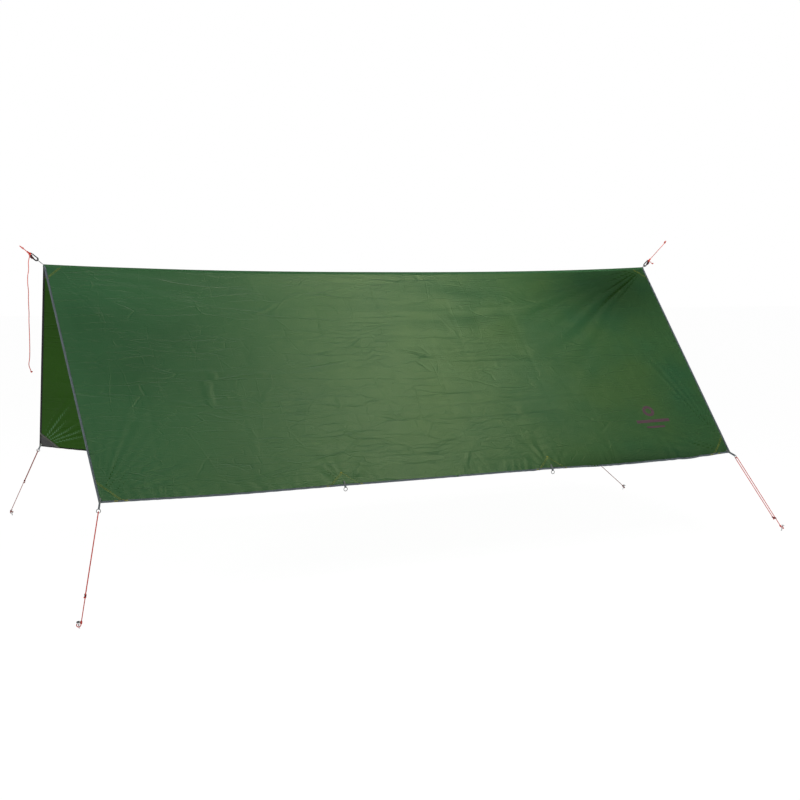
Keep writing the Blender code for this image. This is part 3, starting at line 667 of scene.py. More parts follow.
def tube_shape(path, radius, sides, closed=False, round_ends=True):
    """Points, faces and coordinates of a round tube along a path, with rounded ends."""
    path = [Vector(p) for p in path]
    count = len(path)
    rows, lengths = [], [0.0]
    for i in range(1, count):
        lengths.append(lengths[-1] + (path[i] - path[i - 1]).length)
    reference = None
    frames = []
    for i, place in enumerate(path):
        before = path[i - 1] if closed or i > 0 else place
        after = path[(i + 1) % count] if closed or i < count - 1 else place
        tangent = (after - before).normalized()
        reference = tangent.orthogonal() if reference is None else reference
        first = (reference - tangent * reference.dot(tangent)).normalized()
        reference = first
        frames.append((place, tangent, first, tangent.cross(first)))
    for (place, tangent, first, second), length in zip(frames, lengths):
        rows.append((place, first, second, radius, length))
    if not closed and round_ends:
        place, tangent, first, second = frames[0]
        lead = [(place - tangent * radius * s, first, second, radius * c, -radius * s)
                for s, c in reversed(ROUND_END)]
        place, tangent, first, second = frames[-1]
        trail = [(place + tangent * radius * s, first, second, radius * c, lengths[-1] + radius * s)
                 for s, c in ROUND_END]
        rows = lead + rows + trail
    points, uv, faces = [], [], []
    for place, first, second, size, length in rows:
        for j in range(sides):
            points.append(place + spoke(first, second, 2 * math.pi * j / sides) * size)
            uv.append((length, abs(2 * j / sides - 1)))
    total = len(rows)
    for i in range(total if closed else total - 1):
        a, b = i * sides, ((i + 1) % total) * sides
        faces += [(a + j, a + (j + 1) % sides, b + (j + 1) % sides, b + j) for j in range(sides)]
    if not closed:
        faces += [tuple(range(sides))[::-1], tuple(range((total - 1) * sides, total * sides))]
    return points, faces, uv


def tube(name, path, radius, look, slot, sides, closed=False):
    return new_piece(name, tube_shape(path, radius, sides, closed), look, slot)


def fix(piece, body, node=None):
    """The piece rides on a body, and stands for a node of the CAD model."""
    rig.ride(piece, body)
    if node:
        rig.replaces(piece, node)
    return piece


def join_shapes(shapes):
    """Several (points, faces, uv) as one."""
    points, faces, uv = [], [], []
    for some_points, some_faces, some_uv in shapes:
        base = len(points)
        points += list(some_points)
        uv += list(some_uv)
        faces += [tuple(index + base for index in face) for face in some_faces]
    return points, faces, uv


def catmull_rom(points, step):
    """Points at about one step apart on a smooth curve through the given ones."""
    points = [Vector(p) for p in points]
    ends = [points[0] * 2 - points[1]] + points + [points[-1] * 2 - points[-2]]
    out = []
    for i in range(1, len(ends) - 2):
        p0, p1, p2, p3 = ends[i - 1:i + 3]
        count = max(1, round((p2 - p1).length / step))
        for j in range(count):
            t = j / count
            out.append((p1 * 2 + (p2 - p0) * t + (p0 * 2 - p1 * 5 + p2 * 4 - p3) * t * t
                        + (p1 * 3 - p0 - p2 * 3 + p3) * t ** 3) * 0.5)
    return out + [points[-1]]


def arc(centre, first, second, radius, start, stop, steps):
    angles = [start + (stop - start) * i / steps for i in range(steps + 1)]
    return [centre + spoke(first, second, angle) * radius for angle in angles]


def straight(start, stop, step):
    count = max(1, math.ceil((stop - start).length / step))
    return [start.lerp(stop, i / count) for i in range(count + 1)]


def coil(start, axis, first, radius, turns, pitch):
    """Points on a helix round an axis, 14 to a turn."""
    second = axis.cross(first)
    count = max(2, round(turns * 14))
    out = []
    for i in range(count + 1):
        angle = 2 * math.pi * turns * i / count
        out.append(start + axis * (pitch * turns * i / count) + spoke(first, second, angle) * radius)
    return out


# ================================================================ the draped cloth

def lattice(x, y, seed):
    """Smooth noise from 0 to 1 at points given in cells."""
    cells = np.random.default_rng(seed).random((64, 64))
    column, row = np.floor(x).astype(int), np.floor(y).astype(int)
    fx, fy = x - column, y - row
    fx = fx * fx * fx * (fx * (fx * 6 - 15) + 10)
    fy = fy * fy * fy * (fy * (fy * 6 - 15) + 10)
    at = lambda i, j: cells[(column + i) % 64, (row + j) % 64]
    top = at(0, 0) * (1 - fx) + at(1, 0) * fx
    bottom = at(0, 1) * (1 - fx) + at(1, 1) * fx
    return top * (1 - fy) + bottom * fy


def near(value, middle, width):
    return np.exp(-((value - middle) / width) ** 2)


def smooth_step(value, low, high):
    share = np.clip((value - low) / (high - low), 0, 1)
    return share * share * (3 - 2 * share)


def half_length(reach):
    return RIDGE_HALF + (HEM_HALF - RIDGE_HALF) * reach / PANEL_WIDTH


def flat_cloth(side, along, reach):
    """Points and outward normals of the cloth before it sags or creases."""
    share = np.clip(0.5 + along / (2 * half_length(reach)), 0, 1)
    left, right = HEM_DROP[side]
    sag = HEM_SAG[side] * (1 - np.abs(2 * share - 1) ** SAG_POWER)
    fall = (left + (right - left) * share + sag) / PANEL_WIDTH
    out = np.sqrt(1 - fall * fall)
    point = np.stack([along, side * out * reach, -fall * reach], -1)
    normal = np.stack([0 * along, side * fall, out], -1)
    return point, normal


def fan(along, reach, hand, corner_reach, middle, spread, spacing, height, peak, phase):
    """Folds that fan out of a corner. Angles are in degrees, from the edge along X towards the panel."""
    corner = hand * half_length(corner_reach)
    inward = (corner - along) * hand
    down = np.abs(reach - corner_reach)
    distance = np.hypot(inward, down)
    angle = np.degrees(np.arctan2(down, inward))
    window = np.exp(-np.abs((angle - middle) / spread) ** 3)
    wander = 0.55 * (lattice(distance * 2.3 + 5 + phase, angle * 0.05 + 3, 11) - 0.5)
    wave = np.cos(2 * np.pi * ((angle - middle) / spacing + wander) + phase)
    uneven = 0.2 + 1.5 * lattice(angle / spacing * 0.7 + 9 + phase, distance * 2.0, 23) ** 1.5
    swell = (distance / peak) * np.exp(1 - distance / peak)
    return height * window * wave * swell ** 2.2 * uneven


FANS = {
    FRONT: (
        (1, 0.0, 26, 19, 8.0, 0.0085, 0.36, 3.14),
        (1, 0.0, 11, 9, 9.0, 0.0095, 0.60, 2.2),
        (1, 0.0, 70, 18, 7.0, 0.0010, 0.35, 0.6),
        (1, PANEL_WIDTH, 80, 16, 5.0, 0.0016, 0.34, 0.0),
        (1, PANEL_WIDTH, 16, 18, 8.0, 0.0026, 0.30, 1.0),
        (-1, PANEL_WIDTH, 66, 24, 8.0, 0.0012, 0.26, 0.4),
        (-1, PANEL_WIDTH, 26, 22, 9.0, 0.0014, 0.28, 2.0),
        (-1, 0.0, 20, 22, 9.0, 0.0012, 0.50, 0.0),
        (-1, 0.0, 66, 20, 8.0, 0.0007, 0.30, 1.5),
    ),
    BACK: (
        (-1, PANEL_WIDTH, 46, 40, 10.0, 0.0048, 0.26, 0.8),
        (-1, PANEL_WIDTH, 80, 16, 7.0, 0.0020, 0.40, 0.0),
        (1, PANEL_WIDTH, 50, 38, 11.0, 0.0050, 0.30, 0.2),
        (1, 0.0, 30, 26, 12.0, 0.0040, 0.42, 0.0),
        (-1, 0.0, 34, 26, 10.0, 0.0034, 0.40, 0.7),
    ),
}

PULL_COUNT = 34             # long creases along the ridge's direction
FOLD_PLACES = (-1.42, -0.98, -0.47, -0.22, 0.16, 0.36, 0.74, 0.98, 1.36)    # creases down the slope


def long_pulls(along, reach, seed):
    """Long narrow creases that run along the cloth and wander a little."""
    random = np.random.default_rng(seed)
    lift = 0 * along
    for _ in range(PULL_COUNT):
        middle, centre = random.uniform(0.05, 1.32), random.uniform(-1.4, 1.4)
        length, width = random.uniform(0.22, 0.75), random.uniform(0.007, 0.014)
        height = random.uniform(0.0007, 0.0017) * random.choice((-1, 1))
        slope, bend = random.uniform(-0.03, 0.02), random.uniform(0.003, 0.012)
        line = middle + slope * (along - centre) + bend * np.sin(along * random.uniform(3, 8))
        offset = (reach - line) / width
        lift += height * near(along, centre, length) * np.exp(-offset * offset) * (1 - 0.4 * offset)
    return lift


def packing_folds(along, reach, seed):
    """Straight creases down the slope, where the cloth was folded up."""
    random = np.random.default_rng(seed)
    lift = 0 * along
    for place in FOLD_PLACES:
        middle, length = random.uniform(0.25, 1.1), random.uniform(0.18, 0.5)
        height = random.uniform(0.0004, 0.0008) * random.choice((-1, 1))
        line = place + 0.06 * (reach - 0.7) * random.uniform(-1, 1)
        offset = (along - line) / 0.010
        lift += height * near(reach, middle, length) * np.exp(-offset * offset)
    return lift


def crumple(along, reach, seed):
    """Soft ridged noise, stronger in some places than in others."""
    wide = np.abs(2 * lattice(along * 5.0 + 20, reach * 10.0 + 20, seed) - 1)
    fine = lattice(along * 9 + 30 + reach * 4, reach * 15 + 30 - along * 3, seed + 1)
    where = 0.25 + lattice(along * 1.9 + 10, reach * 2.3 + 10, seed + 2)
    return (0.0022 * wide + 0.0012 * fine) * where


def tie_along(place):
    """Where a mid-hem tie is, from its share of the hem."""
    return HEM_HALF * (2 * place - 1)


def hem_waves(along, reach):
    """Small puckers that rise from the hem, and pulls that gather at the tie loops."""
    below = PANEL_WIDTH - reach
    share = 0.5 + along / (2 * half_length(reach))
    pace = 52 + 16 * lattice(share * 9 + 4, 0 * share, 41)
    tall = 0.035 + 0.07 * lattice(share * 21 + 7, 0 * share, 47)
    lift = 0.0016 * np.sin(2 * np.pi * share * pace + 3 * below * 10) * np.exp(-below / tall)
    lift *= (0.2 + 1.3 * lattice(share * 14 + 2, below * 6, 43)) * (0.5 + smooth_step(share, 0.45, 0.75))
    for place in HEM_TIE_PLACES:
        centre = tie_along(place)
        distance = np.hypot(along - centre, below)
        angle = np.degrees(np.arctan2(below, along - centre))
        wave = np.cos(2 * np.pi * (angle / 31 + 1.2 * lattice(angle * 0.03 + place * 30, distance * 7, 51)))
        uneven = 0.1 + 1.5 * lattice(angle * 0.05 + 3, distance * 5 + place * 20, 53) ** 2
        lift += 0.0018 * uneven * wave * near(distance, 0.12, 0.075) * smooth_step(distance, 0.02, 0.07)
    return lift


def relief(side, along, reach):
    """How far the cloth stands off its flat shape, along its normal."""
    across = along / half_length(reach)
    down = reach / PANEL_WIDTH
    inside = np.clip(1 - across * across, 0, 1)
    lift = -BELLY * inside * np.sin(np.pi * np.clip(down, 0, 1)) ** 1.2
    seed = 100 if side == FRONT else 200
    margin = smooth_step(1 - np.abs(across), 0.0, 0.02) * smooth_step(down, 0.004, 0.05)
    detail = long_pulls(along, reach, seed) + packing_folds(along, reach, seed + 1)
    detail += crumple(along, reach, seed + 2) - 0.0016
    lift += detail * margin * smooth_step(1 - down, 0.0, 0.03)
    for values in FANS[side]:
        lift += fan(along, reach, *values) * smooth_step(1 - np.abs(across), -0.004, 0.02)
    lift += hem_waves(along, reach)
    if side == FRONT:
        # the hem rolls under at the right, and a little at the left
        roll = smooth_step(reach, PANEL_WIDTH - 0.13, PANEL_WIDTH + 0.01)
        lift -= 0.020 * roll * roll * smooth_step(along, 0.55, 1.0) * smooth_step(1.70 - along, 0.0, 0.25)
        lift -= 0.008 * roll * near(along, -1.15, 0.35)
    held = 1.0
    grips = [(tie_along(place), 0.035) for place in HEM_TIE_PLACES]
    for centre, width in grips + [(-HEM_HALF, 0.045), (HEM_HALF, 0.045)]:
        held = held * (1 - near(np.hypot(along - centre, PANEL_WIDTH - reach), 0, width))
    return lift * held


def ridge_sag(along, reach):
    across = np.abs(along) / RIDGE_HALF
    fade = np.clip(1 - reach / PANEL_WIDTH, 0, 1) ** 1.6
    return RIDGE_SAG * np.clip(1 - across ** RIDGE_SAG_POWER, 0, 1) * fade


def drape(side, along, reach):
    point, normal = flat_cloth(side, along, reach)
    point = point + normal * relief(side, along, reach)[..., None]
    point[..., 2] -= ridge_sag(along, reach)
    return point


SURFACES = {}


def lay_out(side):
    """The grid of one panel's middle surface and its outward normals."""
    shares = np.linspace(0, 1, CLOTH_COLUMNS + 1)
    downs = np.linspace(0, 1, CLOTH_ROWS + 1)
    reach = (downs * (PANEL_WIDTH - EDGE_INSET))[:, None] + 0 * shares[None, :]
    along = (half_length(reach) - EDGE_INSET) * (2 * shares[None, :] - 1)
    step = 0.003
    beside = drape(side, along + step, reach) - drape(side, along - step, reach)
    below = drape(side, along, reach + step) - drape(side, along, reach - step)
    normal = np.cross(below, beside) * -side
    normal /= np.linalg.norm(normal, axis=-1, keepdims=True)
    SURFACES[side] = (drape(side, along, reach), normal, along, reach)


def on_cloth(side, along, reach, lift):
    """Points on the draped panel, lifted off its middle surface, and their outward normals."""
    along, reach, lift = np.broadcast_arrays(np.asarray(along, float), np.asarray(reach, float), lift)
    middle, normal = SURFACES[side][:2]
    column = (0.5 + along / (2 * (half_length(reach) - EDGE_INSET))) * CLOTH_COLUMNS
    row = reach / (PANEL_WIDTH - EDGE_INSET) * CLOTH_ROWS
    i = np.clip(np.floor(row).astype(int), 0, CLOTH_ROWS - 1)
    j = np.clip(np.floor(column).astype(int), 0, CLOTH_COLUMNS - 1)
    u, v = (column - j)[..., None], (row - i)[..., None]

    def between(grid):
        top = grid[i, j] * (1 - u) + grid[i, j + 1] * u
        bottom = grid[i + 1, j] * (1 - u) + grid[i + 1, j + 1] * u
        return top * (1 - v) + bottom * v

    out = between(normal)
    out /= np.linalg.norm(out, axis=-1, keepdims=True)
    return between(middle) + out * lift[..., None], out


def slope_line(side):
    """Where the panel starts and stops bending with its joint, on the middle of the slope."""
    fall = HEM_DROP[side][0] / PANEL_WIDTH
    down = Vector((0, side * math.sqrt(1 - fall * fall), -fall))
    return down * BLEND_START, down * BLEND_END


def follow(piece, side, node=None):
    """The piece bends with the cloth between the ridge and the panel's body, and stands for a node."""
    start, end = slope_line(side)
    label = LABELS[side]
    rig.blend(piece, "ridge", f"{label}_side", start=start, end=end)
    if node:
        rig.replaces(piece, node)
    return piece


def grid_faces(rows, columns):
    """Faces of a thin closed sheet whose two faces are grids of points, the outer one's first."""
    layer = rows * columns
    index = np.arange(layer).reshape(rows, columns)
    quads = np.stack([index[:-1, :-1], index[:-1, 1:], index[1:, 1:], index[1:, :-1]], -1).reshape(-1, 4)
    rim = np.concatenate([index[0], index[1:, -1], index[-1, -2::-1], index[-2:0:-1, 0]])
    ahead = np.roll(rim, -1)
    walls = np.stack([rim, ahead, ahead + layer, rim + layer], -1)
    return np.concatenate([quads[:, ::-1], quads + layer, walls]).tolist()


def closed_grid(name, outer, inner, look, slot, uv):
    """A thin closed sheet from two grids of points, one for each face."""
    rows, columns = outer.shape[:2]
    points = np.concatenate([outer.reshape(-1, 3), inner.reshape(-1, 3)])
    faces = grid_faces(rows, columns)
    quads = (rows - 1) * (columns - 1)
    indices = [0] * quads + [len(look.split()) - 1] * quads + [0] * (len(faces) - 2 * quads)
    uv = np.concatenate([uv, uv]).reshape(-1, 2)
    return solid(name, (points, faces, uv), look, slot, indices=indices)


def add_cloth(side, label):
    """One panel: a single continuous sheet from the ridge to the hem, with both its faces."""
    lay_out(side)
    middle, normal, along, reach = SURFACES[side]
    outer, inner = middle + normal * CLOTH_THICK / 2, middle - normal * CLOTH_THICK / 2
    uv = np.stack([along, reach + (0 if side == FRONT else 3.0)], -1)
    piece = closed_grid(f"{label}_cloth", outer, inner, "outer inner", "cloth", uv)
    return follow(piece, side, f"{label}_panel")


TAPE_PROFILE = (     # inset from the edge as a share of the width, and lift, of a folded tape
    (1.00, 0.0007), (0.97, 0.0011), (0.50, 0.0013), (0.14, 0.0013), (0.04, 0.0010), (0.0, 0.0004),
    (0.0, -0.0004), (0.04, -0.0010), (0.14, -0.0013), (0.50, -0.0013), (0.97, -0.0011), (1.00, -0.0007),
)


def edge_path(steps_side=70, steps_hem=190):
    """Edge points and the way in from them, as (along, reach) pairs, from ridge to ridge round the hem."""
    low = PANEL_WIDTH
    path = []
    for i in range(steps_side):
        reach = low * i / steps_side
        path.append((-half_length(reach), reach, 1.0, 0.0))
    path.append((-HEM_HALF, low, 1.0, -1.0))
    for i in range(1, steps_hem):
        path.append((HEM_HALF * (2 * i / steps_hem - 1), low, 0.0, -1.0))
    path.append((HEM_HALF, low, -1.0, -1.0))
    for i in range(steps_side - 1, -1, -1):
        reach = low * i / steps_side
        path.append((half_length(reach), reach, -1.0, 0.0))
    return np.array(path)


def profile_faces(count, rounds):
    """Faces of a closed profile of some points, repeated along a path of some places."""
    faces = []
    for i in range(count - 1):
        for j in range(rounds):
            k = (j + 1) % rounds
            faces.append((i * rounds + j, i * rounds + k, (i + 1) * rounds + k, (i + 1) * rounds + j))
    return faces + [tuple(range(rounds)), tuple(range((count - 1) * rounds, count * rounds))[::-1]]


def swept(lines, uvs):
    """One shape from the lines that a profile's points draw along a path."""
    points, uv = np.stack(lines, 1), np.stack(uvs, 1)
    return points.reshape(-1, 3), profile_faces(len(points), len(lines)), uv.reshape(-1, 2)


def add_tape(side, label):
    path = edge_path()
    rows, uvs = [], []
    start = path[:, :2]
    length = np.concatenate([[0], np.cumsum(np.hypot(*np.diff(start, axis=0).T))])
    for share, lift in TAPE_PROFILE:
        place = start + path[:, 2:] * TAPE_WIDTH * share
        place[:, 1] = np.clip(place[:, 1], 0.0, None)
        wobble = 1 + 0.25 * np.sin(length * 140 + share * 5) * (abs(lift) > 0.0005)
        points, _ = on_cloth(side, place[:, 0], place[:, 1], lift * wobble)
        rows.append(points)
        uvs.append(np.stack([length, 0 * length + share * TAPE_WIDTH], -1))
    rounds = len(TAPE_PROFILE)
    indices = [int(j >= rounds / 2) for _ in range(len(path) - 1) for j in range(rounds)] + [0, 0]
    piece = solid(f"{label}_edge_tape", swept(rows, uvs), "tape tape_inner",
                  "binding", indices=indices)
    follow(piece, side, f"{label}_binding")


SEAM_PROFILE = (     # side, reach and lift of the folded seam over the ridge
    (FRONT, 1.00, 0.0005), (FRONT, 0.96, 0.0010), (FRONT, 0.55, 0.0012), (FRONT, 0.16, 0.0013),
    (FRONT, 0.0, 0.0013), (BACK, 0.0, 0.0013),
    (BACK, 0.16, 0.0013), (BACK, 0.55, 0.0012), (BACK, 0.96, 0.0010), (BACK, 1.00, 0.0005),
    (BACK, 1.00, -0.0005), (BACK, 0.55, -0.0011), (BACK, 0.22, -0.0012),
    (FRONT, 0.22, -0.0012), (FRONT, 0.55, -0.0011), (FRONT, 1.00, -0.0005),
)


def add_ridge_seam():
    along = np.linspace(-RIDGE_HALF, RIDGE_HALF, 241)
    rows, uvs = [], []
    for side, share, lift in SEAM_PROFILE:
        reach = share * SEAM_WIDTH
        points, _ = on_cloth(side, along, reach + 0 * along, lift + 0 * along)
        rows.append(points)
        uvs.append(np.stack([along, 0 * along + side * reach], -1))
    fix(solid("ridge_seam_strip", swept(rows, uvs), "seam", "seam"), "ridge", "ridge_seam")


def thread(side, starts, stops, lift, width):
    """Stitches between pairs of (along, reach) points on the cloth, as one shape."""
    starts, stops = np.asarray(starts, float), np.asarray(stops, float)
    count = len(starts)
    a, _ = on_cloth(side, starts[:, 0], starts[:, 1], lift)
    b, _ = on_cloth(side, stops[:, 0], stops[:, 1], lift)
    half = (starts + stops) / 2
    middle, normal = on_cloth(side, half[:, 0], half[:, 1], lift)
    normal = normal * np.sign(lift)
    run = (b - a) / np.maximum(np.linalg.norm(b - a, axis=1, keepdims=True), 1e-9)
    beside = np.cross(run, normal)
    points = np.stack([a, middle + beside * width, middle + normal * width, middle - beside * width,
                       middle - normal * width, b], 1).reshape(-1, 3)
    pattern = np.array([(0, 1, 2), (0, 2, 3), (0, 3, 4), (0, 4, 1),
                        (5, 2, 1), (5, 3, 2), (5, 4, 3), (5, 1, 4)])
    faces = (pattern[None] + 6 * np.arange(count)[:, None, None]).reshape(-1, 3)
    uv = np.stack([np.repeat(np.arange(count) * 0.003, 6), np.tile(np.arange(6) * width, count)], -1)
    return points.tolist(), faces.tolist(), uv.tolist()


def marks_along(line, pitch):
    """Evenly spaced points along a line of (along, reach) points, and the direction across it at each."""
    line = np.asarray(line, float)
    lengths = np.concatenate([[0], np.cumsum(np.hypot(*np.diff(line, axis=0).T))])
    places = np.linspace(0, lengths[-1], max(2, int(lengths[-1] / pitch) + 1))
    marks = np.stack([np.interp(places, lengths, line[:, 0]), np.interp(places, lengths, line[:, 1])], -1)
    run = np.gradient(marks, axis=0)
    run /= np.hypot(run[:, 0], run[:, 1])[:, None]
    return marks, np.stack([-run[:, 1], run[:, 0]], -1)


def stitches(side, line, lift, pitch=0.0042, length=0.0030, width=0.00042):
    """A row of plain stitches along a line."""
    marks, _ = marks_along(line, pitch)
    share = 0.5 * length / pitch
    middle, run = (marks[1:] + marks[:-1]) / 2, marks[1:] - marks[:-1]
    return thread(side, middle - run * share, middle + run * share, lift, width)


def zigzag(side, line, lift, pitch=0.0021, swing=0.0015, width=0.0006):
    """A row of zigzag stitches along a line."""
    marks, beside = marks_along(line, pitch)
    turn = np.where(np.arange(len(marks)) % 2, swing, -swing)[:, None]
    places = marks + beside * turn
    return thread(side, places[:-1], places[1:], lift, width)


def stitch_piece(name, shapes, look, slot, side):
    follow(solid(name, join_shapes(shapes), look, slot), side)


def corner_triangle(hand, hem):
    """The three corners of a reinforcing patch, the first in the cloth's own corner."""
    down, beside = CORNER_PATCH if hem else RIDGE_PATCH
    level = PANEL_WIDTH - PATCH_MARGIN if hem else 2 * PATCH_MARGIN
    far = level - down if hem else down
    edge, other = (hand * (half_length(reach) - PATCH_MARGIN) for reach in (level, far))
    return (edge, level), (other, far), (edge - hand * beside, level)


def tie_triangle(place):
    base, height = HEM_PATCH
    low = PANEL_WIDTH - PATCH_MARGIN
    centre = tie_along(place)
    return (centre, low - height), (centre - base / 2, low), (centre + base / 2, low)


def add_layer(name, side, corners, shares, steps, heights, look, node=None):
    """A thin layer on the cloth, of rows across a triangle at some shares of the way from its tip."""
    tip, foot_a, foot_b = (np.array(c) for c in corners)
    rows = []
    for share in shares:
        start, stop = tip + (foot_a - tip) * share, tip + (foot_b - tip) * share
        rows.append([start + (stop - start) * j / steps for j in range(steps + 1)])
    grid = np.array(rows)
    upper, lower = (on_cloth(side, grid[..., 0], grid[..., 1], height)[0] for height in heights)
    follow(closed_grid(name, upper, lower, look, "patch", grid), side, node)


def add_facing(name, node, side, corners, has_band):
    """A triangular patch on the inner face, and a lighter folded band along its free edge."""
    shares = [0.02 + 0.98 * i / PATCH_STEPS for i in range(PATCH_STEPS + 1)]
    add_layer(name, side, corners, shares, PATCH_STEPS, (-FACING_TOP, -FACING_BASE), "facing", node)
    if has_band:
        tip, foot_a, foot_b = (np.array(c) for c in corners)
        height = np.linalg.norm((foot_a + foot_b) / 2 - tip)
        shares = [1 - width / height for width in BAND_LINES]
        add_layer(name + "_band", side, corners, shares, 40, (-FACING_BASE + 0.0001, -FACING_BASE - 0.0005),
                  "facing_band")


def inset_line(start, stop, tip, inset, trim):
    """A line beside a patch's free edge, stopped short of the tape."""
    start, stop, tip = (np.array(p, float) for p in (start, stop, tip))
    run = (stop - start) / np.linalg.norm(stop - start)
    inward = tip - (start + stop) / 2
    inward = inward / np.linalg.norm(inward)
    first, last = start + inward * inset + run * trim, stop + inward * inset - run * trim
    return [tuple(first + (last - first) * i / 16) for i in range(17)]


def tack(side, middle, run, size, lift):
    """A dense bar of short zigzag stitches."""
    run = np.array(run, float) / np.hypot(*run)
    ends = np.array([np.array(middle) - run * size / 2, np.array(middle) + run * size / 2])
    return zigzag(side, ends, lift, size / 9, size * 0.32, 0.0008)


def add_panel_trim(side, label):
    olive, dull = [], []
    for hand, word in HANDS:
        for hem, kind in ((True, "corner"), (False, "ridge")):
            corners = corner_triangle(hand, hem)
            add_facing(f"{label}_{word}_{kind}_facing", f"{label}_{word}_{kind}_patch", side, corners, hem)
            for inset in (0.0030, 0.0085):
                line = inset_line(corners[1], corners[2], corners[0], inset, 0.010)
                olive.append(zigzag(side, line, OUTER_THREAD))
                olive.append(stitches(side, line, INNER_THREAD - 0.0006 * hem))
            for share in (0.06, 0.94):
                middle = np.array(corners[1]) * (1 - share) + np.array(corners[2]) * share
                edge = np.subtract(corners[2], corners[1])
                olive.append(tack(side, middle, edge, 0.011, OUTER_THREAD + 0.0002))
    for number, place in enumerate(HEM_TIE_PLACES, 1):
        corners = tie_triangle(place)
        add_facing(f"{label}_hem_facing_{number}", f"{label}_hem_patch_{number}", side, corners, False)
        for foot, insets in ((corners[1], (0.0030, 0.0090)), (corners[2], (0.0030,))):
            for inset in insets:
                tip = (corners[0][0], PANEL_WIDTH)
                line = inset_line(corners[0], foot, tip, inset, 0.004)
                olive.append(zigzag(side, line, OUTER_THREAD))
                olive.append(stitches(side, line, INNER_THREAD))
        middle = (corners[0][0], corners[0][1] + 0.004)
        olive.append(tack(side, middle, (1, 0), 0.010, OUTER_THREAD + 0.0002))
        for foot in corners[1:]:
            olive.append(tack(side, (foot[0], PANEL_WIDTH - 0.005), (1, 0), 0.012, HEM_TACK))
    for hand in (-1, 1):
        for inset in (0.075, 0.120):
            middle = (hand * (HEM_HALF - inset), PANEL_WIDTH - 0.005)
            olive.append(tack(side, middle, (1, 0), 0.016, HEM_TACK))
    path = edge_path(40, 120)
    place = path[:, :2] + path[:, 2:] * TAPE_WIDTH * 0.80
    for lift in (TAPE_THREAD, -TAPE_THREAD):
        dull.append(stitches(side, place[1:-1], lift, 0.0046, 0.0032, 0.0004))
    stitch_piece(f"{label}_patch_stitching", olive, "thread", "cloth", side)
    stitch_piece(f"{label}_tape_stitching", dull, "dull_thread", "binding", side)


def add_ridge_stitching():
    along = np.linspace(-RIDGE_HALF + 0.012, RIDGE_HALF - 0.012, 200)
    shapes = []
    for side in (FRONT, BACK):
        for share in (0.30, 0.84):
            for lift in (0.0014, -0.0014):
                line = np.stack([along, 0 * along + share * SEAM_WIDTH], -1)
                shapes.append(stitches(side, line, lift, 0.0048, 0.0034, 0.0004))
    fix(solid("ridge_stitching", join_shapes(shapes), "dark_thread", "seam"), "ridge")


MARK_PLACE = (1.33, 1.13)       # the printed mark, a ring over two bars


def add_mark():
    """A plain mark with no lettering, low on the front panel's right."""
    side, lift = FRONT, CLOTH_THICK / 2 + 0.00015
    shapes = []

    def sheet(along, reach):
        top, _ = on_cloth(side, along, reach, lift + 0 * along + 0.00012)
        base, _ = on_cloth(side, along, reach, lift + 0 * along)
        uv = np.concatenate([np.stack([along, reach], -1).reshape(-1, 2)] * 2)
        points = np.concatenate([top.reshape(-1, 3), base.reshape(-1, 3)])
        shapes.append((points.tolist(), grid_faces(*along.shape), uv.tolist()))

    centre, down = MARK_PLACE
    for low, high, width in ((0.000, 0.020, 0.215), (0.044, 0.057, 0.120)):
        reach, along = np.meshgrid(np.linspace(down + low, down + high, 4),
                                   np.linspace(centre - width / 2, centre + width / 2, 24), indexing="ij")
        sheet(along, reach)
    turn, radius = np.meshgrid(np.linspace(0, 2 * np.pi * 0.995, 40), np.linspace(0.018, 0.036, 4),
                               indexing="ij")
    sheet(centre + radius * np.cos(turn), down - 0.058 + radius * np.sin(turn))
    follow(solid("front_printed_mark", join_shapes(shapes), "print", "cloth", smooth=False), side)


# ================================================================ loops and rings

def strap_shape(edge, direction, width_axis, reach):
    """A folded strap: two legs sewn on the cloth's faces and a bend that holds a ring."""
    out = direction.cross(width_axis).normalized()
    half = STRAP_WIDTH / 2
    steps = 12
    path = []
    lengths = [-(SEWN_LENGTH + reach) * (1 - i / 10) for i in range(10)]
    for z in lengths:
        path.append((STRAP_INNER, z))
    for i in range(steps + 1):
        angle = math.pi * i / steps
        path.append((STRAP_INNER * math.cos(angle), STRAP_INNER * math.sin(angle)))
    for z in reversed(lengths):
        path.append((-STRAP_INNER, z))
    bend = edge + direction * reach
    points, uv = [], []
    run = 0.0
    for i, (y, z) in enumerate(path):
        before, after = path[max(i - 1, 0)], path[min(i + 1, len(path) - 1)]
        tangent = Vector((after[0] - before[0], after[1] - before[1], 0)).normalized()
        outward = Vector((-tangent.y, tangent.x, 0))
        if outward.dot(Vector((y, max(z, 0.0), 0))) < 0:
            outward = -outward
        if i:
            run += math.hypot(y - path[i - 1][0], z - path[i - 1][1])
        for across, lift in ((-half, 0.0), (-half, STRAP_THICK), (-half * 0.9, STRAP_THICK * 1.08),
                             (half * 0.9, STRAP_THICK * 1.08), (half, STRAP_THICK), (half, 0.0)):
            local_y, local_z = y + outward.x * lift, z + outward.y * lift
            points.append(bend + width_axis * across + out * local_y + direction * local_z)
            uv.append((run, across))
    return points, profile_faces(len(path), 6), uv


def strap_stitching(edge, direction, width_axis):
    """Four short rows of raised stitches across each sewn leg."""
    out = direction.cross(width_axis).normalized()
    half = STRAP_WIDTH / 2
    shapes = []
    for face in (1, -1):
        lift = STRAP_INNER + STRAP_THICK * 1.1
        for z in (-0.004, -0.010, -0.018, -0.0235):
            for i in range(3):
                across = (i - 1) * half * 0.58
                middle = edge + direction * z + out * face * lift + width_axis * across
                ends = [middle - width_axis * 0.0011, middle + width_axis * 0.0011]
                shapes.append(tube_shape(ends, 0.00028, 6))
    return join_shapes(shapes)


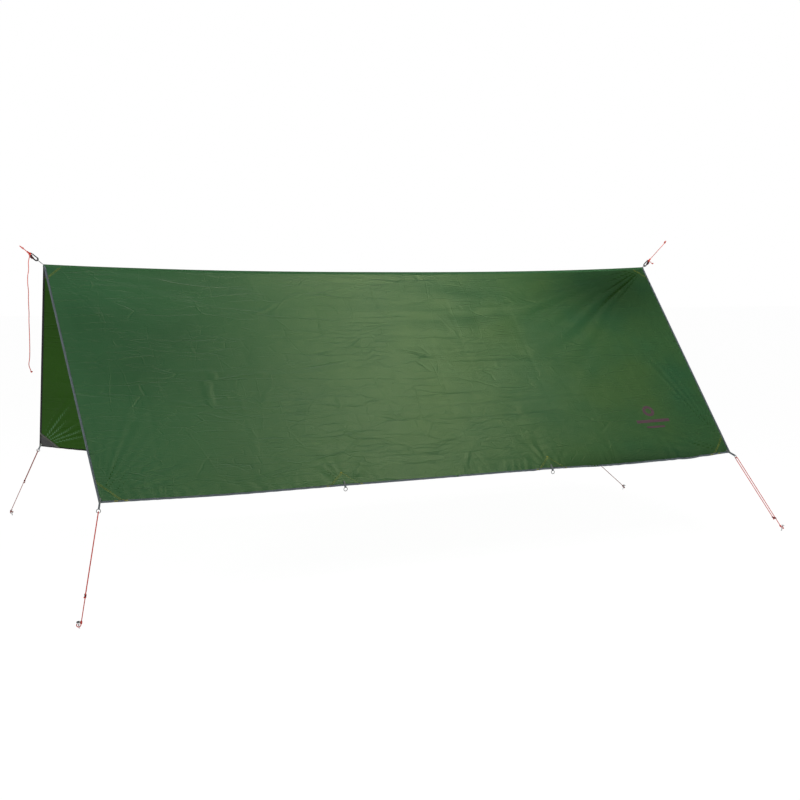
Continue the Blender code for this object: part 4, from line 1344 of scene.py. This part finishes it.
def add_strap(name, node, body, edge, direction, width_axis, reach):
    webbing = strap_shape(edge, direction, width_axis, reach)
    fix(solid(name, webbing, "webbing", "webbing", sharp=50), body, node)
    sewing = strap_stitching(edge, direction, width_axis)
    fix(solid(name + "_stitching", sewing, "thread", "webbing"), body)


def add_ring(name, node, body, middle, first, second):
    path = arc(middle, first, second, RING_MEAN, 0, 2 * math.pi, 56)[:-1]
    fix(tube(name, path, RING_WIRE, "ring", "ring", 16, True), body, node)


# ================================================================ guy lines

def guy_layout(name):
    """Every axis and point of one guy, from its joints and its peg's mount."""
    swing = JOINTS[f"{name}_guy_swing"]
    contact, width = Vector(swing["pos_m"]), Vector(swing["axis"]).normalized()
    guy = -Vector(JOINTS[f"{name}_tensioner_slide"]["axis"]).normalized()
    peg = Vector(JOINTS[f"{name}_peg_pull"]["axis"]).normalized()
    head = Vector(MOUNTS[f"{name}_peg_head"]["pos_m"])
    root = head - peg * (PEG_ABOVE + PEG_HEAD_THICK)
    eye_middle = root + peg * (EYE_HEIGHT / peg.z)
    across = guy.cross(width).normalized()
    eye_side = guy.cross((peg - guy * peg.dot(guy)).normalized())
    aim = eye_middle + across * CORD_TURN - eye_side * EYE_RADIUS
    low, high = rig.box(f"{name}_tensioner")
    return {"contact": contact, "width": width, "guy": guy, "peg": peg, "root": root, "across": across,
            "eye_side": eye_side, "length": (aim - contact).dot(guy),
            "tension_at": ((low + high) / 2 - contact).dot(guy)}


def guy_route(lay):
    """From the stopper under the tensioner, up, round the ring, down to the peg and round it."""
    guy, across = lay["guy"], lay["across"]
    turn_middle = lay["contact"] + guy * (2 * RING_MEAN)
    stop_b = lay["contact"] + guy * (lay["tension_at"] + STOPPER_LENGTH) + across * CORD_TURN
    touch = lay["contact"] + guy * lay["length"] - across * CORD_TURN
    route = straight(stop_b, turn_middle + across * CORD_TURN, STRAND_STEP)
    route += arc(turn_middle, across, -guy, CORD_TURN, 0, math.pi, 14)[1:-1]
    route += straight(turn_middle - across * CORD_TURN, touch, STRAND_STEP)
    middle = touch + lay["eye_side"] * EYE_RADIUS
    route += arc(middle, -lay["eye_side"], guy, EYE_RADIUS, 0, EYE_SWEEP, EYE_STEPS)[1:]
    return route


def path_length(path):
    return sum((b - a).length for a, b in zip(path, path[1:]))


def knot(name, centre, axis, look, body):
    """An overhand knot: a trefoil of cord round the axis."""
    first = axis.orthogonal().normalized()
    second = axis.cross(first)
    path, steps = [], 66
    for i in range(steps):
        t = 2 * math.pi * i / steps
        x = math.sin(t) + 2 * math.sin(2 * t)
        y = math.cos(t) - 2 * math.cos(2 * t)
        z = -math.sin(3 * t)
        path.append(centre + (first * x + second * y) * KNOT_SIZE + axis * z * KNOT_SIZE * 1.15)
    return fix(tube(name, path, CORD_RADIUS * 0.92, look, "cord", 10, True), body)


def whipping(name, start, axis, radius, turns, look, body):
    """Close turns of cord round a line, as a tied eye or a hitch has."""
    first = axis.orthogonal().normalized()
    path = coil(start, axis, first, radius, turns, CORD_RADIUS * 2.05)
    return fix(tube(name, path, CORD_RADIUS, look, "cord", 10), body)


def combine(blank, operation, other):
    modifier = blank.modifiers.new("combine", "BOOLEAN")
    modifier.operation = operation
    modifier.solver = "EXACT"
    modifier.object = other


def shaped(blank, cutters, name, look, bevel, body, node):
    """A hard piece: a blank with round holes cut out and its edges softened."""
    for cutter in cutters:
        combine(blank, "DIFFERENCE", cutter)
    if bevel:
        modifier = blank.modifiers.new("edges", "BEVEL")
        modifier.width = bevel
        modifier.segments = 2
        modifier.limit_method = "ANGLE"
        modifier.angle_limit = math.radians(35)
    bpy.context.view_layer.update()
    graph = bpy.context.evaluated_depsgraph_get()
    mesh = bpy.data.meshes.new_from_object(blank.evaluated_get(graph))
    mesh.name = name
    mesh.shade_smooth()
    mesh.set_sharp_from_angle(angle=math.radians(38))
    mesh.materials.clear()
    mesh.materials.append(LOOKS[look])
    bpy.data.objects.remove(blank, do_unlink=True)
    for cutter in cutters:
        bpy.data.objects.remove(cutter, do_unlink=True)
    piece = new_object(name, mesh)
    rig.slot(piece, look)
    return fix(piece, body, node)


def blank_object(name, points, faces):
    mesh = bpy.data.meshes.new(name)
    mesh.from_pydata([tuple(p) for p in points], [], faces)
    item = new_object(name, mesh)
    turn_out(item)
    return item


def round_cutter(matrix, radius):
    shape = bmesh.new()
    bmesh.ops.create_cone(shape, cap_ends=True, segments=24, radius1=radius, radius2=radius, depth=0.03,
                          matrix=matrix)
    return object_from("cutter", shape)


def prism(outline, low, high, place):
    """A flat outline given thickness, in world points."""
    count = len(outline)
    points = [place(x, y, z) for z in (low, high) for x, y in outline]
    faces = [tuple(range(count)), tuple(range(count, 2 * count))]
    faces += [(i, (i + 1) % count, (i + 1) % count + count, i + count) for i in range(count)]
    return points, faces


def add_tensioner(name, lay):
    """A two-hole bar on both strands, leaning so that it grips."""
    end, neck, thick, hole = 0.0046, 0.0026, 0.005, 0.0020
    sweep, steps, lean = math.radians(130), 20, math.tan(math.radians(35))
    middle = lay["contact"] + lay["guy"] * lay["tension_at"]
    right, up, along = -lay["width"], -lay["across"], lay["guy"]
    outline = []
    for sign in (1, -1):
        for i in range(steps + 1):
            angle = sweep * (2 * i / steps - 1)
            outline.append((sign * end * math.sin(angle), sign * (CORD_TURN + end * math.cos(angle))))
        outline.append((sign * neck, 0.0))
    points, faces = prism(outline, -thick / 2, thick / 2,
                          lambda x, y, z: middle + right * x + up * y + along * (y * lean + z))
    blank = blank_object("bar_blank", points, faces)
    turn = along.to_track_quat("Z", "Y").to_matrix().to_4x4()
    cutters = [round_cutter(Matrix.Translation(middle + up * sign * CORD_TURN) @ turn, hole)
               for sign in (1, -1)]
    return shaped(blank, cutters, f"{name}_tension_bar", "tensioner", 0.0005,
                  f"{name}_slider", f"{name}_tensioner")


def turned(profile, origin, axis, steps=32):
    """A closed turned shape from (radius, height) points along an axis."""
    first = axis.orthogonal().normalized()
    second = axis.cross(first)
    points, rings, uv, faces = [], [], [], []
    for radius, height in profile:
        if radius == 0:
            rings.append([len(points)] * steps)
            points.append(origin + axis * height)
            uv.append((height, 0.0))
            continue
        rings.append(list(range(len(points), len(points) + steps)))
        for i in range(steps):
            points.append(origin + axis * height + spoke(first, second, 2 * math.pi * i / steps) * radius)
            uv.append((height, i / steps))
    for low, high in zip(rings, rings[1:]):
        for i in range(steps):
            j = (i + 1) % steps
            face = [low[i], low[j], high[j], high[i]]
            face = [v for k, v in enumerate(face) if v not in face[:k]]
            if len(face) > 2:
                faces.append(tuple(face))
    return points, faces, uv


def add_peg(name, lay):
    radius, head, edge = 0.003, 0.008, 0.0008
    top = PEG_ABOVE + PEG_HEAD_THICK
    profile = [(0, -PEG_DEPTH), (0.0006, -PEG_DEPTH + 0.001), (radius, -PEG_DEPTH + 0.022),
               (radius, PEG_ABOVE - 0.0012), (radius * 1.12, PEG_ABOVE - 0.0004),
               (radius * 1.4, PEG_ABOVE), (head - edge, PEG_ABOVE),
               (head - edge * 0.3, PEG_ABOVE + edge * 0.3), (head, PEG_ABOVE + edge), (head, top - edge),
               (head - edge * 0.3, top - edge * 0.3), (head - edge, top), (0, top)]
    piece = solid(f"{name}_ground_peg", turned(profile, lay["root"], lay["peg"]), "peg", "peg",
                  sharp=40)
    fix(piece, f"{name}_stake", f"{name}_peg")


def add_guy_cords():
    """Each guy: its cord, the stopper knot under the tensioner and the tied eye on the peg."""
    for side, _, _, name in CORNERS:
        lay = guy_layout(name)
        route = guy_route(lay)
        body = f"{name}_guy"
        # the back guys take the cord with painted shade
        look = "cord" if side == FRONT else "shaded_cord"
        cord = fix(tube(f"{name}_guy_cord", route, CORD_DRAWN, look, "cord", 12), body, f"{name}_guy_line")
        stopper = knot(f"{name}_stopper_knot", route[0] + lay["guy"] * 0.0005, lay["guy"], look, body)
        touch = lay["contact"] + lay["guy"] * lay["length"] - lay["across"] * CORD_TURN
        eye = whipping(f"{name}_eye_whipping", touch - lay["guy"] * 0.016, lay["guy"], WRAP_RADIUS, 3.6,
                       look, body)
        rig.cord(cord, exit=route[0], length=path_length(route), diameter=2 * CORD_RADIUS, far_end="knot",
                stiffness="limp", lay="taut", path=route, with_pieces=[stopper, eye])


def hem_point(side, along):
    """A point of the flat cloth's hem."""
    return Vector(flat_cloth(side, np.array(along), np.array(PANEL_WIDTH))[0])


def add_guy_hardware():
    for side, label, hand, name in CORNERS:
        lay = guy_layout(name)
        edge = hem_point(side, hand * (HEM_HALF - CORNER_INSET))
        direction = (lay["contact"] - edge).normalized()
        add_strap(f"{name}_corner_strap", f"{name}_corner_loop", f"{label}_side", edge, direction,
                  lay["width"], CORNER_REACH)
        add_ring(f"{name}_steel_ring", f"{name}_corner_ring", f"{name}_guy",
                 lay["contact"] + lay["guy"] * RING_MEAN, lay["width"], lay["guy"])
        add_tensioner(name, lay)
        add_peg(name, lay)


def add_hem_ties():
    for side, label in SIDES:
        for number, place in enumerate(HEM_TIE_PLACES, 1):
            contact = Vector(JOINTS[f"{label}_hem_ring_{number}_swing"]["pos_m"])
            edge = hem_point(side, tie_along(place))
            down = (contact - edge).normalized()
            width = (X_AXIS - down * X_AXIS.dot(down)).normalized()
            add_strap(f"{label}_hem_strap_{number}", f"{label}_hem_loop_{number}", f"{label}_side", edge,
                      down, width, HEM_REACH)
            add_ring(f"{label}_hem_steel_ring_{number}", f"{label}_hem_ring_{number}",
                     f"{label}_tie_{number}", contact - Z_AXIS * RING_MEAN, X_AXIS, Z_AXIS)


# ================================================================ ridge ends

def ridge_frame(hand, word):
    """Axes at a ridge end: out along the line, up across the hook, and through it."""
    rise = RIDGE_LINE_RISE[word]
    out = (X_AXIS * hand * math.cos(rise) + Z_AXIS * math.sin(rise)).normalized()
    up = (Z_AXIS * math.cos(rise) - X_AXIS * hand * math.sin(rise)).normalized()
    end = X_AXIS * hand * RIDGE_HALF
    return out, up, up.cross(out), end


def tail_route(start, word, hand):
    sway = TAIL_SWAY[word]
    route = []
    for i, shift in enumerate(sway):
        wave = TAIL_WAVE * math.sin(TAIL_WAVE_TURN * i)
        share = i / (len(sway) - 1)
        route.append(start + Vector((hand * shift, wave - TAIL_LEAN[word] * share, -TAIL_DROP[word] * share)))
    return route


def add_ridge_cords():
    for hand, word in HANDS:
        out, up, _, end = ridge_frame(hand, word)
        far = end + out * (LOOP_START + LOOP_LENGTH[word] + HOOK_LENGTH)
        start = far + out * (HOOK_ROD + CORD_RADIUS + CLEARANCE)
        touch = end + out * RIDGE_LINE_REACH[word]
        route = straight(start, touch, STRAND_STEP)
        middle = touch + Y_AXIS * LINE_EYE_RADIUS
        route += arc(middle, -Y_AXIS, out, LINE_EYE_RADIUS, 0, LINE_EYE_SWEEP, 20)[1:]
        look = "cord" if hand < 0 else "pale_cord"
        cord = fix(tube(f"{word}_ridge_cord", route, CORD_DRAWN, look, "cord", 12), "ridge",
                   f"{word}_ridge_line")
        # the turns and the bundle take the darker cord: painted shade
        windings = (
            ("eye_whipping", touch - out * 0.014, out, WRAP_RADIUS, 3.2, "pale_cord"),
            ("hitch", far - up * 0.0055, up, ROD_WRAP_RADIUS, 3.6, "cord"),
            ("turns", far - out * 0.0075 - up * HOOK_HALF_WIDTH, -out, ROD_WRAP_RADIUS, 5.4, "wound_cord"),
            ("wrap", start + out * 0.0012, out, WRAP_RADIUS, 3.4, "cord"),
            ("bundle", far - out * 0.0055 - up * 0.0011, -out, BUNDLE_RADIUS, 2.8, "wound_cord"),
        )
        eye, hitch, turns, wrap, bundle = (whipping(f"{word}_ridge_{kind}", *how, "ridge")
                                           for kind, *how in windings)
        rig.cord(cord, exit=route[0], length=path_length(route), diameter=2 * CORD_RADIUS, far_end="knot",
                stiffness="limp", lay="taut", path=route, with_pieces=[eye, hitch, turns, bundle, wrap])
        tail_path = catmull_rom(tail_route(far + HITCH_OFFSET, word, hand), 0.004)
        tail = fix(tube(f"{word}_tail_cord", tail_path, CORD_DRAWN, "pale_cord", "cord", 12),
                   "ridge", f"{word}_ridge_tail")
        end_knot = knot(f"{word}_tail_knot", tail_path[-1] + Z_AXIS * 0.004, Z_AXIS, "cord",
                        "ridge")
        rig.cord(tail, exit=tail_path[0], length=path_length(tail_path), diameter=2 * CORD_RADIUS,
                far_end="knot", stiffness="limp", lay="hanging", path=tail_path, with_pieces=[end_knot])


def stadium(first, second, start, length, bend, steps):
    near_end = arc(first * start, first, second, bend, math.pi / 2, 1.5 * math.pi, steps)
    far_end = arc(first * (start + length), first, second, bend, -math.pi / 2, math.pi / 2, steps)
    near_side = straight(near_end[-1], far_end[0], 0.003)[1:-1]
    far_side = straight(far_end[-1], near_end[0], 0.003)[1:-1]
    return near_end + near_side + far_end + far_side


def add_ridge_loop(word, end, out):
    """The thin cord loop that joins the ridge seam to the hook."""
    loop = [end + p for p in stadium(out, Y_AXIS, LOOP_START, LOOP_LENGTH[word], LOOP_BEND, 12)]
    fix(tube(f"{word}_ridge_cord_loop", loop, LOOP_WIRE, "thin_loop", "thin_loop", 12, True),
        "ridge", f"{word}_ridge_loop")


def pin_hole(pivot, through):
    turn = through.to_track_quat("Z", "Y").to_matrix().to_4x4()
    return round_cutter(Matrix.Translation(pivot) @ turn, PIN_RADIUS + GATE_GAP)


def add_hook_body(word, place, out, up, through):
    """A bent rod that is open on its upper side, with a flat tongue for the gate's fork."""
    bend = HOOK_HALF_WIDTH
    far_x = HOOK_LENGTH - bend
    route = straight(place(GATE_NOSE, 0, bend), place(bend, 0, bend), 0.002)[:-1]
    route += arc(place(bend, 0, 0), -out, up, bend, math.pi / 2, -math.pi / 2, 22)
    route += straight(place(bend, 0, -bend), place(far_x, 0, -bend), 0.003)[1:-1]
    stop = math.acos((GATE_PIVOT + ROD_STOP - far_x) / bend)
    route += arc(place(far_x, 0, 0), out, up, bend, -math.pi / 2, stop, 22)
    points, faces, _ = tube_shape(route, HOOK_ROD, 20, round_ends=False)
    body = blank_object("hook_blank", points, faces)
    low = (GATE_PIVOT - TONGUE_HALF_HEIGHT, bend - TONGUE_HALF_HEIGHT)
    high = (GATE_PIVOT + TONGUE_ROOT, bend + TONGUE_HALF_HEIGHT)
    outline = [(low[0], low[1]), (high[0], low[1]), (high[0], high[1]), (low[0], high[1])]
    points, faces = prism(outline, -TONGUE_WIDTH / 2, TONGUE_WIDTH / 2, lambda x, z, y: place(x, y, z))
    tongue = blank_object("tongue", points, faces)
    combine(body, "UNION", tongue)
    hole = pin_hole(place(GATE_PIVOT, 0, bend), through)
    shaped(body, [hole], f"{word}_hook_body", "hook", 0.0, "ridge", f"{word}_ridge_hook")
    bpy.data.objects.remove(tongue, do_unlink=True)


def add_gate(word, place, through):
    """The sprung gate with its forked end, and the rivet that it turns on."""
    pivot = place(GATE_PIVOT, 0, HOOK_HALF_WIDTH)
    tip, tail = GATE_NOSE + GATE_NOSE_GAP, GATE_PIVOT + GATE_TAIL
    half, slot_half, back = GATE_WIDTH / 2, TONGUE_WIDTH / 2 + GATE_GAP, GATE_PIVOT - FORK_BACK
    outline = [(tip, -half * 0.72), (tip + 0.002, -half), (tail, -half), (tail, -slot_half),
               (back, -slot_half), (back, slot_half), (tail, slot_half), (tail, half),
               (tip + 0.002, half), (tip, half * 0.72)]
    low, high = HOOK_HALF_WIDTH - GATE_HEIGHT / 2, HOOK_HALF_WIDTH + GATE_HEIGHT / 2
    bar = blank_object("gate_blank", *prism(outline, low, high, place))
    shaped(bar, [pin_hole(pivot, through)], f"{word}_spring_gate", "hook", 0.0004,
           f"{word}_gate", f"{word}_hook_gate")
    profile = [(0, -half), (PIN_RADIUS * 0.8, -half), (PIN_RADIUS, -half + 0.0002),
               (PIN_RADIUS, half - 0.0002), (PIN_RADIUS * 0.8, half), (0, half)]
    pin = solid(f"{word}_gate_rivet", turned(profile, pivot, through, 20), "pin", "pin", sharp=40)
    fix(pin, "ridge", f"{word}_gate_pin")


def add_hooks():
    for hand, word in HANDS:
        out, up, through, end = ridge_frame(hand, word)
        origin = end + out * (LOOP_START + LOOP_LENGTH[word])

        def place(x, y, z):
            return origin + out * x + through * y + up * z

        add_ridge_loop(word, end, out)
        add_hook_body(word, place, out, up, through)
        add_gate(word, place, through)


# ================================================================ room

def add_floor():
    shape = bmesh.new()
    bmesh.ops.create_grid(shape, x_segments=2, y_segments=2, size=40.0,
                          matrix=Matrix.Translation((0, 0, GROUND)))
    floor = object_from("floor", shape)
    recipe = Recipe("floor", (0.10, 0.10, 0.10), 1.0, Specular_IOR_Level=0.0,
                    Emission_Color=(1, 1, 1, 1), Emission_Strength=0.98)
    floor.data.materials.append(recipe.material)
    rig.stage(floor)


def add_light(name, place, aim, size, power, along=X_AXIS):
    """A soft rectangular light, aimed at a point, with its first side along a direction."""
    data = bpy.data.lights.new(name, "AREA")
    data.shape = "RECTANGLE"
    data.size, data.size_y = size
    data.energy = power
    light = new_object(name, data)
    back = (Vector(place) - Vector(aim)).normalized()
    second = back.cross(Vector(along)).normalized()
    first = second.cross(back)
    light.matrix_world = Matrix.Translation(place) @ Matrix((first, second, back)).transposed().to_4x4()


def add_room():
    world = bpy.data.worlds.new("studio")
    world.use_nodes = True
    nodes, links = world.node_tree.nodes, world.node_tree.links
    output = nodes["World Output"]
    light = nodes["Background"]
    light.inputs["Color"].default_value = (1, 1, 1, 1)
    light.inputs["Strength"].default_value = 0.08
    shown = nodes.new("ShaderNodeBackground")
    shown.inputs["Color"].default_value = (1, 1, 1, 1)
    shown.inputs["Strength"].default_value = 1.0
    ray = nodes.new("ShaderNodeLightPath")
    mix = nodes.new("ShaderNodeMixShader")
    links.new(ray.outputs["Is Camera Ray"], mix.inputs[0])
    links.new(light.outputs[0], mix.inputs[1])
    links.new(shown.outputs[0], mix.inputs[2])
    links.new(mix.outputs[0], output.inputs["Surface"])
    bpy.context.scene.world = world
    add_light("overhead", (1.15, -1.15, 2.3), (0.0, -0.5, -0.5), (1.9, 0.7), 34, (0.9, -1.7, 0))
    add_light("overhead_front", (1.45, -1.9, 2.3), (0.0, -0.5, -0.5), (0.8, 0.8), 6, (0.9, -1.7, 0))
    add_light("behind", (0.3, 1.6, 3.0), (-0.1, -0.3, -0.3), (2.0, 1.0), 20)
    add_light("left_side", (-4.0, -1.2, 1.2), (0.0, -0.5, -0.6), (1.2, 1.2), 42)
    add_light("front", (0.0, -3.5, 2.5), (0.0, -0.5, -0.6), (2.0, 1.0), 25)
    add_light("right_low", (2.8, -3.2, 0.6), (0.9, -0.6, -0.8), (1.2, 1.2), 8)
    bpy.context.scene.view_settings.view_transform = "Standard"
    bpy.context.scene.view_settings.look = "None"


# ================================================================ the whole

def main():
    add_camera()
    LOOKS.update(make_looks())
    add_guy_cords()
    add_ridge_cords()
    cloths = {}
    for side, label in SIDES:
        cloths[label] = add_cloth(side, label)
        add_tape(side, label)
        add_panel_trim(side, label)
    add_ridge_seam()
    add_ridge_stitching()
    add_mark()
    add_guy_hardware()
    add_hem_ties()
    add_hooks()
    for side, label in SIDES:
        cloth = cloths[label]
        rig.sheet(cloth, flat=(2 * RIDGE_HALF, PANEL_WIDTH + HEM_ALLOWANCE), held="hung",
                 rests_on=["ridge_seam_strip"], with_pieces=[f"{label}_edge_tape"])
    add_floor()
    add_room()


main()
with open("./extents.json", "w") as sizes:
    json.dump({"cad": [list(corner) for corner in cad_box],
               "visual": [list(corner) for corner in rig.bounds()]}, sizes)
